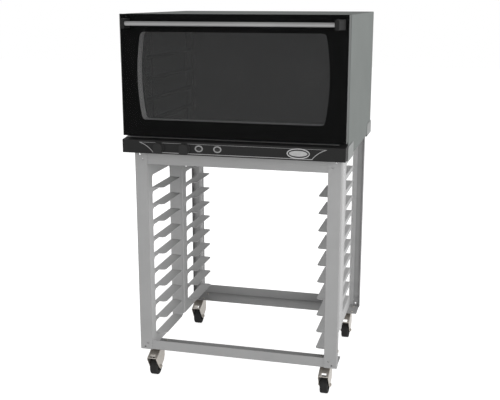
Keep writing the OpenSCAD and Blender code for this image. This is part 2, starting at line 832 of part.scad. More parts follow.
module blank_plate() color("#c8c8c8")
  translate([plate_x, fascia_y - plate_t - plate_rim, fascia_mid]) to_back() difference() {
    linear_extrude(plate_t + plate_rim) polygon(oval(plate_w, plate_h));
    translate([0, 0, -over]) linear_extrude(plate_rim + over)
      polygon(oval(plate_w - 2 * plate_rim_w, plate_h - 2 * plate_rim_w));
  }

// Stand

// A leg at the right, with its wide flange towards the front
module leg() difference() {
  union() {
    translate([stand_w / 2 - leg_w, leg_y, caster_h]) cube([leg_w, stand_t, stand_h]);
    translate([stand_w / 2 - stand_t, leg_y, caster_h]) cube([stand_t, leg_side, stand_h]);
  }
  corner_holes();
}

// The empty holes at both ends of a leg, through the rail behind it too
module corner_holes() both_sides() for (h = leg_holes) {
  for (z = [stand_top - h[1], caster_h + leg_hole_rise + h[1]])
    rod_y([stand_w / 2 - h[0], leg_y - over, z], leg_hole_d, 2 * stand_t + 2 * over);
}

module side_bolt_hole() rod_x([stand_w / 2 - stand_t - over, leg_y + side_bolt_y, caster_h + side_bolt_z],
  bolt_d + 2 * run_gap, stand_t + 2 * over);

// Turns a front piece of the stand into the matching rear piece
module at_rear() translate([0, leg_y + back_y, 0]) mirror([0, 1, 0]) children();

module front_legs() color(satin) both_sides() difference() {
  leg();
  side_bolt_hole();
}
module rear_legs() color(satin) at_rear() both_sides() leg();

module rail(face_z, face_h, flange_z) {
  bar_box(leg_y + stand_t, face_z, rail_len, stand_t, face_h);
  bar_box(leg_y + stand_t, flange_z, rail_len, rail_flange, stand_t);
}

module top_rail() difference() {
  rail(top_rail_z, top_rail_h, stand_top - stand_t);
  corner_holes();
}

module bottom_rail(axis_y) difference() {
  rail(caster_h, bottom_rail_h, caster_h);
  corner_holes();
  both_sides() bolts_at(caster_x, axis_y) translate([0, 0, caster_h - over])
    cylinder(d = bolt_d + 2 * run_gap, h = stand_t + 2 * over);
}

module top_rail_front() color(satin) top_rail();
module top_rail_rear() color(satin) at_rear() top_rail();
module bottom_rail_front() color(satin) bottom_rail(leg_y + caster_front);
module bottom_rail_rear() color(satin) at_rear() bottom_rail(leg_y + caster_rear);

// Slide panel at the right: the plan of the sheet with its bent edges and its swage
module panel_plan() {
  x0 = panel_x;
  x1 = panel_x + stand_t;
  s0 = swage_y;
  s1 = s0 + swage_w;
  polygon([
    [x1 + flange_w, panel_front], [x0, panel_front], [x0, s0], [x0 + swage_d, s0 + swage_d],
    [x0 + swage_d, s1 - swage_d], [x0, s1], [x0, panel_rear], [x1 + flange_w, panel_rear],
    [x1 + flange_w, panel_rear - stand_t], [x1, panel_rear - stand_t], [x1, s1 + swage_slope],
    [x1 + swage_d, s1 - swage_d + swage_slope], [x1 + swage_d, s0 + swage_d - swage_slope],
    [x1, s0 - swage_slope],
    [x1, panel_front + stand_t], [x1 + flange_w, panel_front + stand_t]
  ]);
}

// A ledge, seen from above, that sticks out to the left of x = 0 and starts in the sheet
module ledge_plan(len) {
  translate([-ledge_w + ledge_r, 0]) square([ledge_w - ledge_r + stand_t, len]);
  translate([-ledge_w, ledge_r]) square([ledge_w + stand_t, len - 2 * ledge_r]);
  for (y = [ledge_r, len - ledge_r]) translate([-ledge_w + ledge_r, y]) circle(r = ledge_r);
}

// The punched opening over a ledge, with round upper corners
module slot_outline(len) {
  square([len, slot_h - ledge_r]);
  translate([ledge_r, 0]) square([len - 2 * ledge_r, slot_h]);
  for (y = [ledge_r, len - ledge_r]) translate([y, slot_h - ledge_r]) circle(r = ledge_r);
}

// Every ledge's place in one column
module at_ledges(y) for (i = [0 : slide_rows - 1])
  translate([panel_x, leg_y + y, caster_h + slide_low + i * slide_pitch]) children();

module slide_panel() {
  difference() {
    translate([0, 0, caster_h + stand_t]) linear_extrude(stand_h - 2 * stand_t) panel_plan();
    for (c = ledge_columns) at_ledges(c[0])
      translate([-over, 0, 0]) rotate([90, 0, 90]) linear_extrude(stand_t + 2 * over) slot_outline(c[1]);
  }
  for (c = ledge_columns) at_ledges(c[0])
    translate([0, 0, -stand_t]) linear_extrude(stand_t) ledge_plan(c[1]);
}

module slide_panel_right() color(satin) slide_panel();
module slide_panel_left() color(satin) mirror([1, 0, 0]) slide_panel();

// Seat of the cabinet on the stand

module seat_bracket() {
  translate([lip_x + stand_t - bracket_w, bracket_y, stand_top]) cube([bracket_w, bracket_len, stand_t]);
  translate([lip_x, bracket_y, stand_top]) rotate([90, 0, 90]) linear_extrude(stand_t) {
    square([bracket_len, bracket_h - lip_r]);
    translate([lip_r, 0]) square([bracket_len - 2 * lip_r, bracket_h]);
    for (y = [lip_r, bracket_len - lip_r]) translate([y, bracket_h - lip_r]) circle(r = lip_r);
  }
}

module seat_brackets() color("#b4b6b5") {
  both_sides() seat_bracket();
  translate([0, back_y - bracket_len - bracket_y, 0]) both_sides() seat_bracket();
}

module oven_pads() color(black) both_sides() for (y = [bracket_y + bracket_len / 2, back_y - bracket_len / 2])
  translate([lip_x - pad_in - pad_w, y - pad_w / 2, stand_top + stand_t]) cube([pad_w, pad_w, pad_t]);

// Fasteners of the stand

module bolts_at(x, y) for (sx = [-1, 1], sy = [-1, 1])
  translate([x + sx * bolt_pitch / 2, y + sy * bolt_pitch_y / 2, 0]) children();

module caster_bolt() {
  translate([0, 0, caster_h + stand_t]) cylinder(d = bolt_head_d, h = bolt_head_t);
  translate([0, 0, caster_h - plate_t2 - nut_t]) cylinder(d = bolt_d, h = plate_t2 + nut_t + stand_t + over);
  translate([0, 0, caster_h - plate_t2 - nut_t]) cylinder(d = bolt_head_d, h = nut_t, $fn = 6);
}

module side_bolt() translate([stand_w / 2, leg_y + side_bolt_y, caster_h + side_bolt_z]) {
  rod_x([0, 0, 0], side_bolt_head_d, side_bolt_head_t);
  rod_x([-stand_t - nut_t, 0, 0], bolt_d, stand_t + nut_t + over);
  rod_x([-stand_t - nut_t, 0, 0], bolt_head_d, nut_t);
}

module stand_bolts() color(zinc) {
  both_sides() {
    bolts_at(caster_x, leg_y + caster_front) caster_bolt();
    bolts_at(caster_x, back_y - caster_rear) caster_bolt();
    side_bolt();
  }
}

// Casters. Each swivel axis is at x, y.

module caster_plate() difference() {
  union() {
    translate([-plate_side / 2, -plate_d / 2, caster_h - plate_t2]) cube([plate_side, plate_d, plate_t2]);
    translate([0, 0, caster_h - plate_t2 - race_t]) cylinder(d = race_d, h = race_t + over);
    translate([0, 0, crown_z - fork_t - face_gap - pin_washer_t]) {
      cylinder(d = kingpin_d, h = fork_t + race_t + 2 * face_gap + pin_washer_t);
      cylinder(d = kingpin_d + pin_washer_w, h = pin_washer_t);
    }
  }
  bolts_at(0, 0) translate([0, 0, caster_h - plate_t2 - over])
    cylinder(d = bolt_d + 2 * run_gap, h = plate_t2 + 2 * over);
}

module caster_plates() color(zinc) both_sides() {
  translate([caster_x, leg_y + caster_front, 0]) caster_plate();
  translate([caster_x, back_y - caster_rear, 0]) caster_plate();
}

module crown_outline() polygon([
  [crown_back, crown_z], [-crown_flat, crown_z], [-crown_front, crown_z - crown_fall],
  [-crown_front, crown_z - crown_fall - fork_t], [-crown_flat - fork_t / 4, crown_z - fork_t],
  [crown_back, crown_z - fork_t]
]);

module cheek_outline() {
  polygon([
    [crown_back, crown_z], [crown_back, axle_z + heel_up], [crown_back / 2, axle_z + heel_mid],
    [-crown_back / 2, axle_z + heel_low], [-trail + fork_foot_slope, axle_z - fork_foot_d / 4],
    [-trail, axle_z - fork_foot_d / 2], [-trail - fork_foot_slope, axle_z - fork_foot_d / 4],
    [-trail - toe_out, axle_z + heel_low], [-crown_front, crown_z - crown_fall - crown_lip],
    [-crown_front, crown_z - crown_fall], [-crown_flat, crown_z]
  ]);
  translate([-trail, axle_z]) circle(d = fork_foot_d);
}

module fork(x, y) color(zinc) translate([x, y, 0]) {
  difference() {
    union() {
      along_x(fork_w) crown_outline();
      for (s = [-1, 1]) translate([s * (fork_w - fork_t) / 2, 0, 0]) along_x(fork_t) cheek_outline();
    }
    translate([0, 0, crown_z - 2 * fork_t]) cylinder(d = kingpin_d + 2 * run_gap, h = 3 * fork_t);
    translate([-window_x / 2, -crown_front + window_front, crown_z - crown_fall - crown_lip])
      cube([window_x, window_y, crown_fall]);
    rod_x([-fork_w, -trail, axle_z], axle_d + 2 * run_gap, 2 * fork_w);
  }
  rod_x([-fork_w / 2 - axle_end, -trail, axle_z], axle_d, fork_w + 2 * axle_end);
  for (x = [-fork_w / 2 - axle_end, fork_w / 2])
    rod_x([x, -trail, axle_z], axle_d + axle_washer_w, axle_end);
}

module hub(x, y) color(dark) translate([x, y - trail, axle_z]) difference() {
  union() {
    rod_x([-tyre_w / 2 + hub_side, 0, 0], 2 * hub_r, tyre_w - 2 * hub_side);
    rod_x([-fork_w / 2 + fork_t + face_gap, 0, 0], hub_boss_d, fork_w - 2 * fork_t - 2 * face_gap);
  }
  rod_x([-fork_w, 0, 0], axle_d + 2 * run_gap, 2 * fork_w);
}

module tyre(x, y) color(black) translate([x, y - trail, axle_z]) rotate([0, 90, 0]) rotate_extrude($fn = 128) {
  translate([hub_r, -tyre_w / 2]) square([wheel_d / 2 - shoulder_r - hub_r, tyre_w]);
  translate([hub_r, -tyre_w / 2 + shoulder_r]) square([wheel_d / 2 - hub_r, tyre_w - 2 * shoulder_r]);
  for (s = [-1, 1]) translate([wheel_d / 2 - shoulder_r, s * (tyre_w / 2 - shoulder_r)]) circle(r = shoulder_r);
}

// Door

module door_shell() color(steel) difference() {
  union() {
    difference() {
      bar_box(shell_y, door_low + edge_inset, shell_w, door_rear - shell_y, door_h - 2 * edge_inset);
      bar_box(shell_y - over, door_low + edge_inset + door_sheet_t, shell_w - 2 * door_sheet_t,
        door_rear - shell_y - door_sheet_t + over, door_h - 2 * edge_inset - 2 * door_sheet_t);
    }
    both_sides() for (s = [-1, 1])
      translate([hinge_x + s * (arm_t / 2 + cheek_gap + cheek_t / 2), cheek_y, door_low + edge_inset])
        bar_box(0, 0, cheek_t, cheek_d, cheek_h);
  }
  window_block(0, door_rear - door_sheet_t - over, door_sheet_t + 2 * over);
  both_sides() {
    translate([hinge_x - arm_t / 2 - arm_slot, cheek_y + cheek_d, door_low - over])
      cube([arm_t + 2 * arm_slot, door_d, hinge_up + arm_eye_d / 2 + arm_slot + over]);
    translate([hinge_x - arm_t / 2 - cheek_gap, shell_y - over, door_low - over])
      cube([arm_t + 2 * cheek_gap, door_d, hinge_up + arm_eye_d / 2 + arm_slot + over]);
    rod_x([hinge_x - pin_len, hinge_y, hinge_z], pin_d, 2 * pin_len);
  }
}

module door_glass() color(glassy) bar_box(door_y, door_low, oven_w, glass_t, door_h);

module glass_print() color("#111111") difference() {
  bar_box(print_y, door_low, oven_w, print_t, door_h);
  window_block(0, print_y - over, print_t + 2 * over);
}

module window_liner() color("#5a5a5a") difference() {
  window_block(liner_t, shell_y, inner_y - shell_y);
  window_block(0, shell_y - over, inner_y - shell_y + 2 * over);
}

module inner_glass() color(glassy) bar_box(inner_y, window_z - inner_h / 2, inner_w, inner_glass_t, inner_h);

module glass_seal() color(black) difference() {
  bar_box(seal_y, window_z - inner_h / 2, inner_w, seal_t, inner_h);
  bar_box(seal_y - over, window_z - inner_h / 2 + seal_w, inner_w - 2 * seal_w,
    seal_t + 2 * over, inner_h - 2 * seal_w);
}

module handle_bar() color("#a0a0a0") rod_x([-bar_len / 2, handle_y, handle_z], bar_d, bar_len);

// Handle end at the right: a square foot on the glass that narrows to a round-cornered nose
module handle_end() difference() {
  hull() {
    translate([bar_clear / 2, door_y - end_face_t, handle_z - end_h / 2]) cube([end_w, end_face_t, end_h]);
    for (x = [end_nose_r, end_nose_w - end_nose_r], s = [-1, 1])
      rod_y([bar_clear / 2 + x, door_y - handle_front, handle_z + s * (end_h / 2 - end_nose_r)],
        2 * end_nose_r, end_nose_t, $fn = 32);
  }
  rod_x([bar_clear / 2 - over, handle_y, handle_z], bar_d + 2 * socket_gap, socket_d + over);
}

module handle_ends() color(dark) both_sides() handle_end();

cabinet_shell();
cabinet_back();
cabinet_base();
front_frame();
cavity_liner();
cavity_back();
insulation();
fan_guard();
heating_elements();
fan_motors();
tray_runners();
lamp_lens();
lamp_holder();
door_gasket();
steam_outlet();
cable_gland();
hinge_arms();
fascia();
control_chassis();
switches();
pilot_bezels();
pilot_lenses();
blank_plate();
front_legs();
rear_legs();
top_rail_front();
top_rail_rear();
bottom_rail_front();
bottom_rail_rear();
slide_panel_left();
slide_panel_right();
seat_brackets();
oven_pads();
stand_bolts();
caster_plates();
door_shell();
door_glass();
glass_print();
window_liner();
inner_glass();
glass_seal();
handle_bar();
handle_ends();
hinge_pins();
knob(timer_x);  // timer_knob
knob(thermostat_x);  // thermostat_knob
fan(-fan_x);  // fan_left
fan(fan_x);  // fan_right
fork(-caster_x, front_axis);  // fork_front_left
fork(caster_x, front_axis);  // fork_front_right
fork(-caster_x, rear_axis);  // fork_rear_left
fork(caster_x, rear_axis);  // fork_rear_right
hub(-caster_x, front_axis);  // hub_front_left
hub(caster_x, front_axis);  // hub_front_right
hub(-caster_x, rear_axis);  // hub_rear_left
hub(caster_x, rear_axis);  // hub_rear_right
tyre(-caster_x, front_axis);  // tyre_front_left
tyre(caster_x, front_axis);  // tyre_front_right
tyre(-caster_x, rear_axis);  // tyre_rear_left
tyre(caster_x, rear_axis);  // tyre_rear_right
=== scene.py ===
# %% [markdown]
# # A convection oven on a rolling tray stand
#
# The object is a low, wide convection oven with a drop-down glass door. It stands on an open stand of
# folded sheet steel with ten rows of tray ledges on each side and four swivel casters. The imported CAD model
# comes in as a fixed frame: it already has every main form in its right place. This lesson rounds edges,
# adds the small things that a maker adds by hand, gives each surface its finish, and sets up a plain photo
# studio.
#
# First the frame is loaded. Its nodes are never moved. Where a form needs round edges, a copy of the node
# is shaped and stands in for it.

# %% Load the frame
import json
import math

import bmesh
import bpy
from mathutils import Matrix, Vector


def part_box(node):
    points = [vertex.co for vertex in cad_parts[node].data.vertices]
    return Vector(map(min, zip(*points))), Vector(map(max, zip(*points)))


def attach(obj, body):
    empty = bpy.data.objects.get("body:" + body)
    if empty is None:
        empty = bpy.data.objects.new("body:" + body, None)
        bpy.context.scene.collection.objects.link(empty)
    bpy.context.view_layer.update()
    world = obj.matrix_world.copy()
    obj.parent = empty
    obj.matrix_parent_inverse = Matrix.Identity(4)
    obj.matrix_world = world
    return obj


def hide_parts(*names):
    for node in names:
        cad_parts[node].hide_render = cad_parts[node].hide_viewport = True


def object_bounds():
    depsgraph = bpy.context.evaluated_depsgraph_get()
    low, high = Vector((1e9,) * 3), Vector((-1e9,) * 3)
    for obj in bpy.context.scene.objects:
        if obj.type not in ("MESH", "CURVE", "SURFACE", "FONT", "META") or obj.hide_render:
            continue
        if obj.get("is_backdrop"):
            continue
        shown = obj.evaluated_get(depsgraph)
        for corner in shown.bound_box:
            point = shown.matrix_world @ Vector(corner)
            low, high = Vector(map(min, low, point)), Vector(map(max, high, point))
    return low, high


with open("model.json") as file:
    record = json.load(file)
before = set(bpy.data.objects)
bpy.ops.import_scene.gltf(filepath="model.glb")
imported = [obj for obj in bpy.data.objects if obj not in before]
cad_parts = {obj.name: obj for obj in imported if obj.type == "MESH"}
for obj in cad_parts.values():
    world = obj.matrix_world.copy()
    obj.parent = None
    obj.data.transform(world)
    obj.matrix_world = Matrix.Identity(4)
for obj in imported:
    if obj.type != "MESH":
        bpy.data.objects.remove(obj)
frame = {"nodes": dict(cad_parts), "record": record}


def short(numbers, digits=3):
    """Numbers rounded for a print."""
    return [round(number, digits) for number in numbers]


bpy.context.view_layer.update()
nodes = frame["nodes"]
record = frame["record"]
slot_of = {part["node"]: part.get("material_slot") for part in record["subparts"]}
body_of = {node: body for body, members in record["behaviour"]["bodies"].items() for node in members}

# %% [markdown]
# ## Camera
#
# The photo looks at the door from the right, a little above it, through a fairly long lens. The numbers
# were solved from the straight edges of the cabinet and the stand. A solved place and turn is exact, so it
# is simply written down.

# %% Add the camera
MM = 0.001
CAMERA_PLACE = (0.77868, -3.123175, 1.42978)
CAMERA_TURN = (math.radians(76.536), math.radians(-0.015), math.radians(14.324))
CAMERA_LENS, CAMERA_SENSOR = 60.73, 36

bpy.ops.object.camera_add(location=CAMERA_PLACE, rotation=CAMERA_TURN)
camera = bpy.context.object
camera.name = "studio_camera"
camera.data.lens = CAMERA_LENS
camera.data.sensor_width = CAMERA_SENSOR
bpy.context.scene.camera = camera
bpy.context.scene.view_settings.view_transform = "Standard"
print("camera at", short(camera.location), "with a", camera.data.lens, "mm lens")

# %% [markdown]
# ## Small helpers for modelling
#
# Blender's operators act on whatever is selected, so each step begins by selecting one piece and nothing
# else. In edit mode its edges are picked by a test, as the mouse would do it by eye.

# %% Select, edit and join pieces
def pick(piece):
    """Makes one piece the only selected one, and the active one."""
    bpy.ops.object.select_all(action="DESELECT")
    piece.select_set(True)
    bpy.context.view_layer.objects.active = piece
    return piece


def enter(piece, test=None):
    """Opens a piece in edit mode with all of it selected, or only the edges that pass a test."""
    pick(piece)
    bpy.ops.object.mode_set(mode="EDIT")
    bpy.ops.mesh.select_mode(type="EDGE" if test else "FACE")
    bpy.ops.mesh.select_all(action="DESELECT" if test else "SELECT")
    if test:
        net = bmesh.from_edit_mesh(piece.data)
        net.normal_update()
        for edge in [edge for edge in net.edges if test(edge)]:
            edge.select_set(True)
        bmesh.update_edit_mesh(piece.data)


def leave():
    """Back to object mode."""
    bpy.ops.object.mode_set(mode="OBJECT")


def joined(pieces):
    """Several pieces as one, under the first one's name."""
    pick(pieces[0])
    for piece in pieces:
        piece.select_set(True)
    if len(pieces) > 1:
        bpy.ops.object.join()
    return bpy.context.view_layer.objects.active


# %% [markdown]
# A piece ends with its place in its mesh and its object at the origin, unturned and unscaled. Then it gets
# its finish and the CAD body that it moves with, and the nodes that it stands for are hidden.

# %% Finish a piece
def settle(piece):
    """Moves a piece's place, turn and size into its mesh."""
    pick(piece)
    bpy.ops.object.transform_apply(location=True, rotation=True, scale=True)
    return piece


def paint(piece, finish):
    """Gives a piece one finish in place of any that it has."""
    piece.data.materials.clear()
    piece.data.materials.append(finish)
    return piece


def dress(piece, name, finish, body="frame", stands_for=()):
    """Names a piece, gives it its finish and body, and hides the nodes it stands for."""
    settle(piece)
    piece.name = name
    piece.data.name = name
    if finish is not None:
        paint(piece, finish)
    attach(piece, body)
    if stands_for:
        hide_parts(*stands_for)
    return piece


def smooth(piece, degrees=32):
    """Smooth shading over gentle angles, sharp shading over the rest."""
    pick(piece)
    bpy.ops.object.shade_smooth_by_angle(angle=math.radians(degrees))
    return piece


# %% [markdown]
# A new piece starts as a copied mesh, a net of points and faces, or a block. Bevels, thickness and cuts are
# modifiers, which are applied at once.

# %% Start a piece
UPRIGHT = Matrix.Identity(4)


def from_mesh(name, mesh):
    """A new piece in the scene from a mesh."""
    piece = bpy.data.objects.new(name, mesh)
    bpy.context.scene.collection.objects.link(piece)
    return piece


def from_net(name, net, where=UPRIGHT):
    """A new piece from a net of points and faces, turned and moved into place."""
    mesh = bpy.data.meshes.new(name)
    net.to_mesh(mesh)
    net.free()
    mesh.transform(where)
    return from_mesh(name, mesh)


def block(centre, size):
    """A block from its centre and its size along each axis, in metres."""
    bpy.ops.mesh.primitive_cube_add(size=1, location=centre)
    bpy.ops.transform.resize(value=size)
    return settle(bpy.context.object)


def halfway(low, high):
    """The point halfway between two corners."""
    return (low + high) / 2


def modify(piece, kind, **settings):
    """Adds a modifier to a piece, and applies it."""
    pick(piece)
    made = piece.modifiers.new(kind, kind)
    for key, value in settings.items():
        setattr(made, key, value)
    bpy.ops.object.modifier_apply(modifier=made.name)
    return piece


# %% [markdown]
# Sheet steel has no knife-sharp edges: a laser leaves a small burr that is brushed off, and a press brake
# bends with a radius a little over the sheet's thickness. A copy of the node is merged, its flat faces are
# joined into one again, the bends are rounded first and wide, and a Bevel modifier then breaks all other
# edges.

# %% Copy a node and round its edges
SHEET = 2 * MM
FOLD = 1.2 * MM
MERGE = 0.02 * MM
FLAT = math.radians(0.6)
FOLD_ANGLE = 1.2  # radians, so about 69 degrees
FACE_WEIGHT = 100  # the widest faces alone set the shading


def copy_of(node):
    """A merged copy of a node with clean flat faces."""
    piece = from_mesh(node + "_copy", nodes[node].data.copy())
    enter(piece)
    bpy.ops.mesh.remove_doubles(threshold=MERGE)
    bpy.ops.mesh.dissolve_limited(angle_limit=FLAT, delimit=set())
    leave()
    if piece.data.has_custom_normals:
        bpy.ops.mesh.customdata_custom_splitnormals_clear()
    return piece


def strip_width(face):
    """The mean width of a face. That of a sheet's cut edge is only its thickness."""
    return 2 * face.calc_area() / face.calc_perimeter()


def is_fold(edge, outer):
    """True where two wide faces of a sheet meet, on the outer or on the inner side of the fold."""
    return (len(edge.link_faces) == 2 and edge.is_convex == outer and edge.calc_face_angle() > FOLD_ANGLE
            and min(strip_width(face) for face in edge.link_faces) > 2 * SHEET)


def round_folds(piece, radius, outer):
    """Rounds the folds of a sheet piece on one of their sides, as a press brake leaves them."""
    enter(piece, lambda edge: is_fold(edge, outer))
    if any(edge.select for edge in bmesh.from_edit_mesh(piece.data).edges):
        bpy.ops.mesh.bevel(offset=radius, segments=4, affect="EDGES", clamp_overlap=True)
    leave()


def break_edges(piece, width, segments=2, degrees=40):
    """A small bevel along every sharp edge, and shading that keeps the wide faces flat."""
    modify(piece, "BEVEL", width=width, segments=segments, limit_method="ANGLE",
           angle_limit=math.radians(degrees), use_clamp_overlap=True)
    return modify(smooth(piece), "WEIGHTED_NORMAL", keep_sharp=True, weight=FACE_WEIGHT)


def soften(node, finish, width, fold=0.0, segments=2):
    """A copy of a node with round folds and broken edges, which stands for it."""
    piece = copy_of(node)
    if fold:
        round_folds(piece, fold + SHEET, True)
        round_folds(piece, fold, False)
    break_edges(piece, width * MM, segments)
    return dress(piece, node + "_softened", finish, body_of[node], (node,))


print("a sheet of", SHEET / MM, "mm is folded with an inner radius of", FOLD / MM, "mm")

# %% [markdown]
# ## Colours
#
# Colours are written as sRGB hex, as a colour picker shows them, and one function turns them to the linear
# values that the shader wants. One more function adds a node, sets its values and makes its links. The
# others make patterns, and let them drive a shader's colour, its roughness or its small relief.

# %% Colour and node helpers
def linear(code):
    """An sRGB hex colour as linear RGBA."""
    parts = [int(code[i:i + 2], 16) / 255 for i in (1, 3, 5)]
    return [c / 12.92 if c <= 0.04045 else ((c + 0.055) / 1.055) ** 2.4 for c in parts] + [1.0]


def add_node(tree, kind, values=None, links=None, **settings):
    """Adds a shader node, with its settings, socket values, and links from other nodes' outputs."""
    node = tree.nodes.new("ShaderNode" + kind)
    for key, value in settings.items():
        setattr(node, key, value)
    for key, value in (values or {}).items():
        node.inputs[key].default_value = value
    for key, source in (links or {}).items():
        tree.links.new(source, node.inputs[key])
    return node


def new_finish(name, base, roughness, metallic=0.0, values=None):
    """A material with one Principled shader. Its fixed numbers sit on the shader's own sockets."""
    made = bpy.data.materials.new(name)
    made.use_nodes = True
    shader = made.node_tree.nodes["Principled BSDF"]
    fixed = {"Base Color": linear(base), "Roughness": roughness, "Metallic": metallic} | (values or {})
    for key, value in fixed.items():
        shader.inputs[key].default_value = value
    place = add_node(made.node_tree, "TexCoord").outputs["Object"]
    return made, made.node_tree, shader, place


def vary_colour(tree, shader, dark, light, factor):
    """Lets the colour run from dark to light with a pattern."""
    mix = add_node(tree, "Mix", {6: linear(dark), 7: linear(light)}, {0: factor}, data_type="RGBA")
    tree.links.new(mix.outputs[2], shader.inputs["Base Color"])


def vary_roughness(tree, shader, low, high, factor):
    """Lets the roughness run from low to high with a pattern."""
    rough = add_node(tree, "MapRange", {"To Min": low, "To Max": high}, {"Value": factor})
    tree.links.new(rough.outputs[0], shader.inputs["Roughness"])


def emboss(tree, shader, strength, rise, pattern):
    """Lets a pattern stand out of the surface by a rise in metres."""
    bump = add_node(tree, "Bump", {"Strength": strength, "Distance": rise}, {"Height": pattern})
    tree.links.new(bump.outputs[0], shader.inputs["Normal"])


def noise(tree, place, scale, detail, roughness=0.5):
    """Soft noise. Its scale is in features for each metre."""
    return add_node(tree, "TexNoise", {"Scale": scale, "Detail": detail, "Roughness": roughness},
                    {"Vector": place}).outputs[0]


def full_range(tree, span, pattern):
    """A pattern whose values lie within a span, made to run from 0 to 1."""
    return add_node(tree, "MapRange", {"From Min": span[0], "From Max": span[1]},
                    {"Value": pattern}).outputs[0]


# %% [markdown]
# ## Brushed and satin sheet
#
# The stand, the cabinet and the cavity are stainless sheet with a satin finish. A belt of fine grit runs
# along the coil and leaves hair-thin lines, so that light spreads across them and the sheet never looks
# like a mirror. Real lines are near 0.1 mm apart, too fine for a picture where a pixel is 4 mm, so they are
# drawn about 2 mm apart and very faint, with a slow cloudiness of a hand's width on top. Noise that is
# stretched along one axis gives the lines, and plain noise gives the clouds. The grain follows the length
# of a sheet, so each steel says along which axis its lines run.

# %% Make the satin steels
LINE_LENGTH, LINE_SHARE = 120, 0.7
SATIN_SPAN = (0.5, 1.2)
SATIN_SHEEN = {"Specular IOR Level": 0.15, "Specular Tint": linear("#959595")}


def satin_sheet(name, dark, light, roughness, metallic, grain_axis, grain=0.002, cloud=0.09, depth=0.04):
    """Satin stainless sheet with its grain along one axis. Grain and cloud are sizes in metres."""
    made, tree, shader, place = new_finish(name, light, roughness, metallic, SATIN_SHEEN)
    stretch = [1 / grain] * 3
    stretch[grain_axis] = 1 / (grain * LINE_LENGTH)
    lines_at = add_node(tree, "Mapping", {"Scale": stretch}, {"Vector": place}).outputs[0]
    lines = noise(tree, lines_at, 1.0, 3.0, 0.6)
    clouds = noise(tree, place, 1 / cloud, 2.0)
    both = add_node(tree, "Math", {1: LINE_SHARE}, {0: lines, 2: clouds}, operation="MULTIPLY_ADD")
    vary_colour(tree, shader, dark, light, full_range(tree, SATIN_SPAN, both.outputs[0]))
    vary_roughness(tree, shader, roughness - 0.05, roughness + 0.06, lines)
    emboss(tree, shader, depth, 0.1 * MM, lines)
    return made


X, Y, Z = 0, 1, 2
stand_upright = satin_sheet("satin_stainless_upright", "#a3a3a3", "#a9a9a9", 0.52, 0.3, Z)
stand_across = satin_sheet("satin_stainless_across", "#a2a2a2", "#a8a8a8", 0.52, 0.3, X)
# The slides' steel is the stand's steel made lighter, as painted light for the shade that falls on the
# panels' inner faces.
slide_sheet_lightened = satin_sheet("satin_stainless_slides_lightened", "#bababa", "#c0c0c0", 0.54, 0.3, Y)
bracket_sheet = satin_sheet("bright_stainless_brackets", "#949695", "#a0a2a1", 0.46, 0.35, Y)
cabinet_sheet = satin_sheet("satin_stainless_cabinet", "#737775", "#797d7b", 0.56, 0.25, Y, cloud=0.16)
door_sheet = satin_sheet("satin_stainless_door", "#606261", "#676968", 0.6, 0.15, Y, cloud=0.16)
# Two copies of the cavity steel: the walls are made almost white, as painted light for the light that the
# door's glass keeps out, and the guard and back copy is a little darker, as painted shade.
cavity_sheet = satin_sheet("cavity_stainless", "#6c6e6d", "#767877", 0.5, 0.2, X, cloud=0.12)
lit_wall_sheet = satin_sheet("cavity_wall_stainless_lightened", "#e2e4e3", "#eaeceb", 0.5, 0.2, Y, cloud=0.12)
runner_sheet = satin_sheet("tray_runner_stainless", "#9a9c9b", "#a6a8a7", 0.5, 0.2, Y, cloud=0.12)
# The chassis strip's steel is kept light, as painted light that keeps it bright in the shade under the door.
strip_steel_lightened = satin_sheet("chassis_edge_painted_light", "#a4a4a4", "#b0b0b0", 0.5, 0.1, X)
handle_metal = satin_sheet("brushed_stainless_bar", "#9e9e9e", "#acacac", 0.3, 0.6, X, 0.0012, 0.2, 0.2)
print("steels:", [made.name for made in bpy.data.materials if "stainless" in made.name])

# %% [markdown]
# ## The other finishes
#
# Each finish starts from what the real thing is, and keeps its colour a little uneven, because nothing in a
# kitchen is one flat colour.
#
# Moulded black plastic comes out of a spark-eroded mould with a fine pebble grain near 0.3 mm. It is drawn
# at 0.8 mm so that it still breaks the highlight in the picture. Its colour and its roughness drift in
# patches of about 45 mm.

# %% Make the moulded plastics and rubbers
PATCH = 1 / 22


def moulded(name, dark, light, roughness, pebble=0.0008, depth=0.2, shine=0.35):
    """Moulded plastic or rubber with a pebble grain. Pebble is the grain's size in metres."""
    made, tree, shader, place = new_finish(name, light, roughness, 0.0, {"Specular IOR Level": shine})
    pebbles = add_node(tree, "TexVoronoi", {"Scale": 1 / pebble}, {"Vector": place}).outputs[0]
    patches = noise(tree, place, 1 / PATCH, 3.0)
    vary_colour(tree, shader, dark, light, patches)
    vary_roughness(tree, shader, roughness - 0.06, roughness + 0.06, patches)
    emboss(tree, shader, depth, 0.05 * MM, pebbles)
    return made


panel_plastic = moulded("moulded_abs_panel", "#222222", "#272727", 0.5, depth=0.08, shine=0.15)
knob_plastic = moulded("moulded_nylon_knob", "#252525", "#2a2a2a", 0.5, depth=0.08, shine=0.2)
handle_plastic = moulded("moulded_nylon_handle_end", "#191919", "#1e1e1e", 0.5, depth=0.08, shine=0.2)
gland_plastic = moulded("moulded_nylon_gland", "#1d1d1d", "#262626", 0.45)
seal_rubber = moulded("silicone_rubber_seal", "#141414", "#1c1c1c", 0.7, 0.0015)
tyre_rubber = moulded("vulcanised_rubber_tyre", "#262626", "#2e2e2e", 0.72, 0.0012, 0.15, 0.2)
hub_plastic = moulded("polypropylene_hub", "#222222", "#2b2b2b", 0.5, shine=0.2)
ring_plastic = moulded("painted_polycarbonate_ring", "#848484", "#8e8e8e", 0.45)
switch_plastic = moulded("phenolic_switch_body", "#1c1a18", "#262321", 0.55)
print("plastics and rubbers made")

# %% [markdown]
# Zinc plating over pressed steel is bright but never even: it spangles in patches of a few millimetres and
# turns a little brown where the passivation is thicker. Voronoi cells with a soft colour change give the
# patches, and a haze of about 17 mm shades them and makes the roughness uneven.

# %% Make the plated and plain metals
HAZE = 1 / 60
SPANGLE_SPAN = (0.05, 0.4)


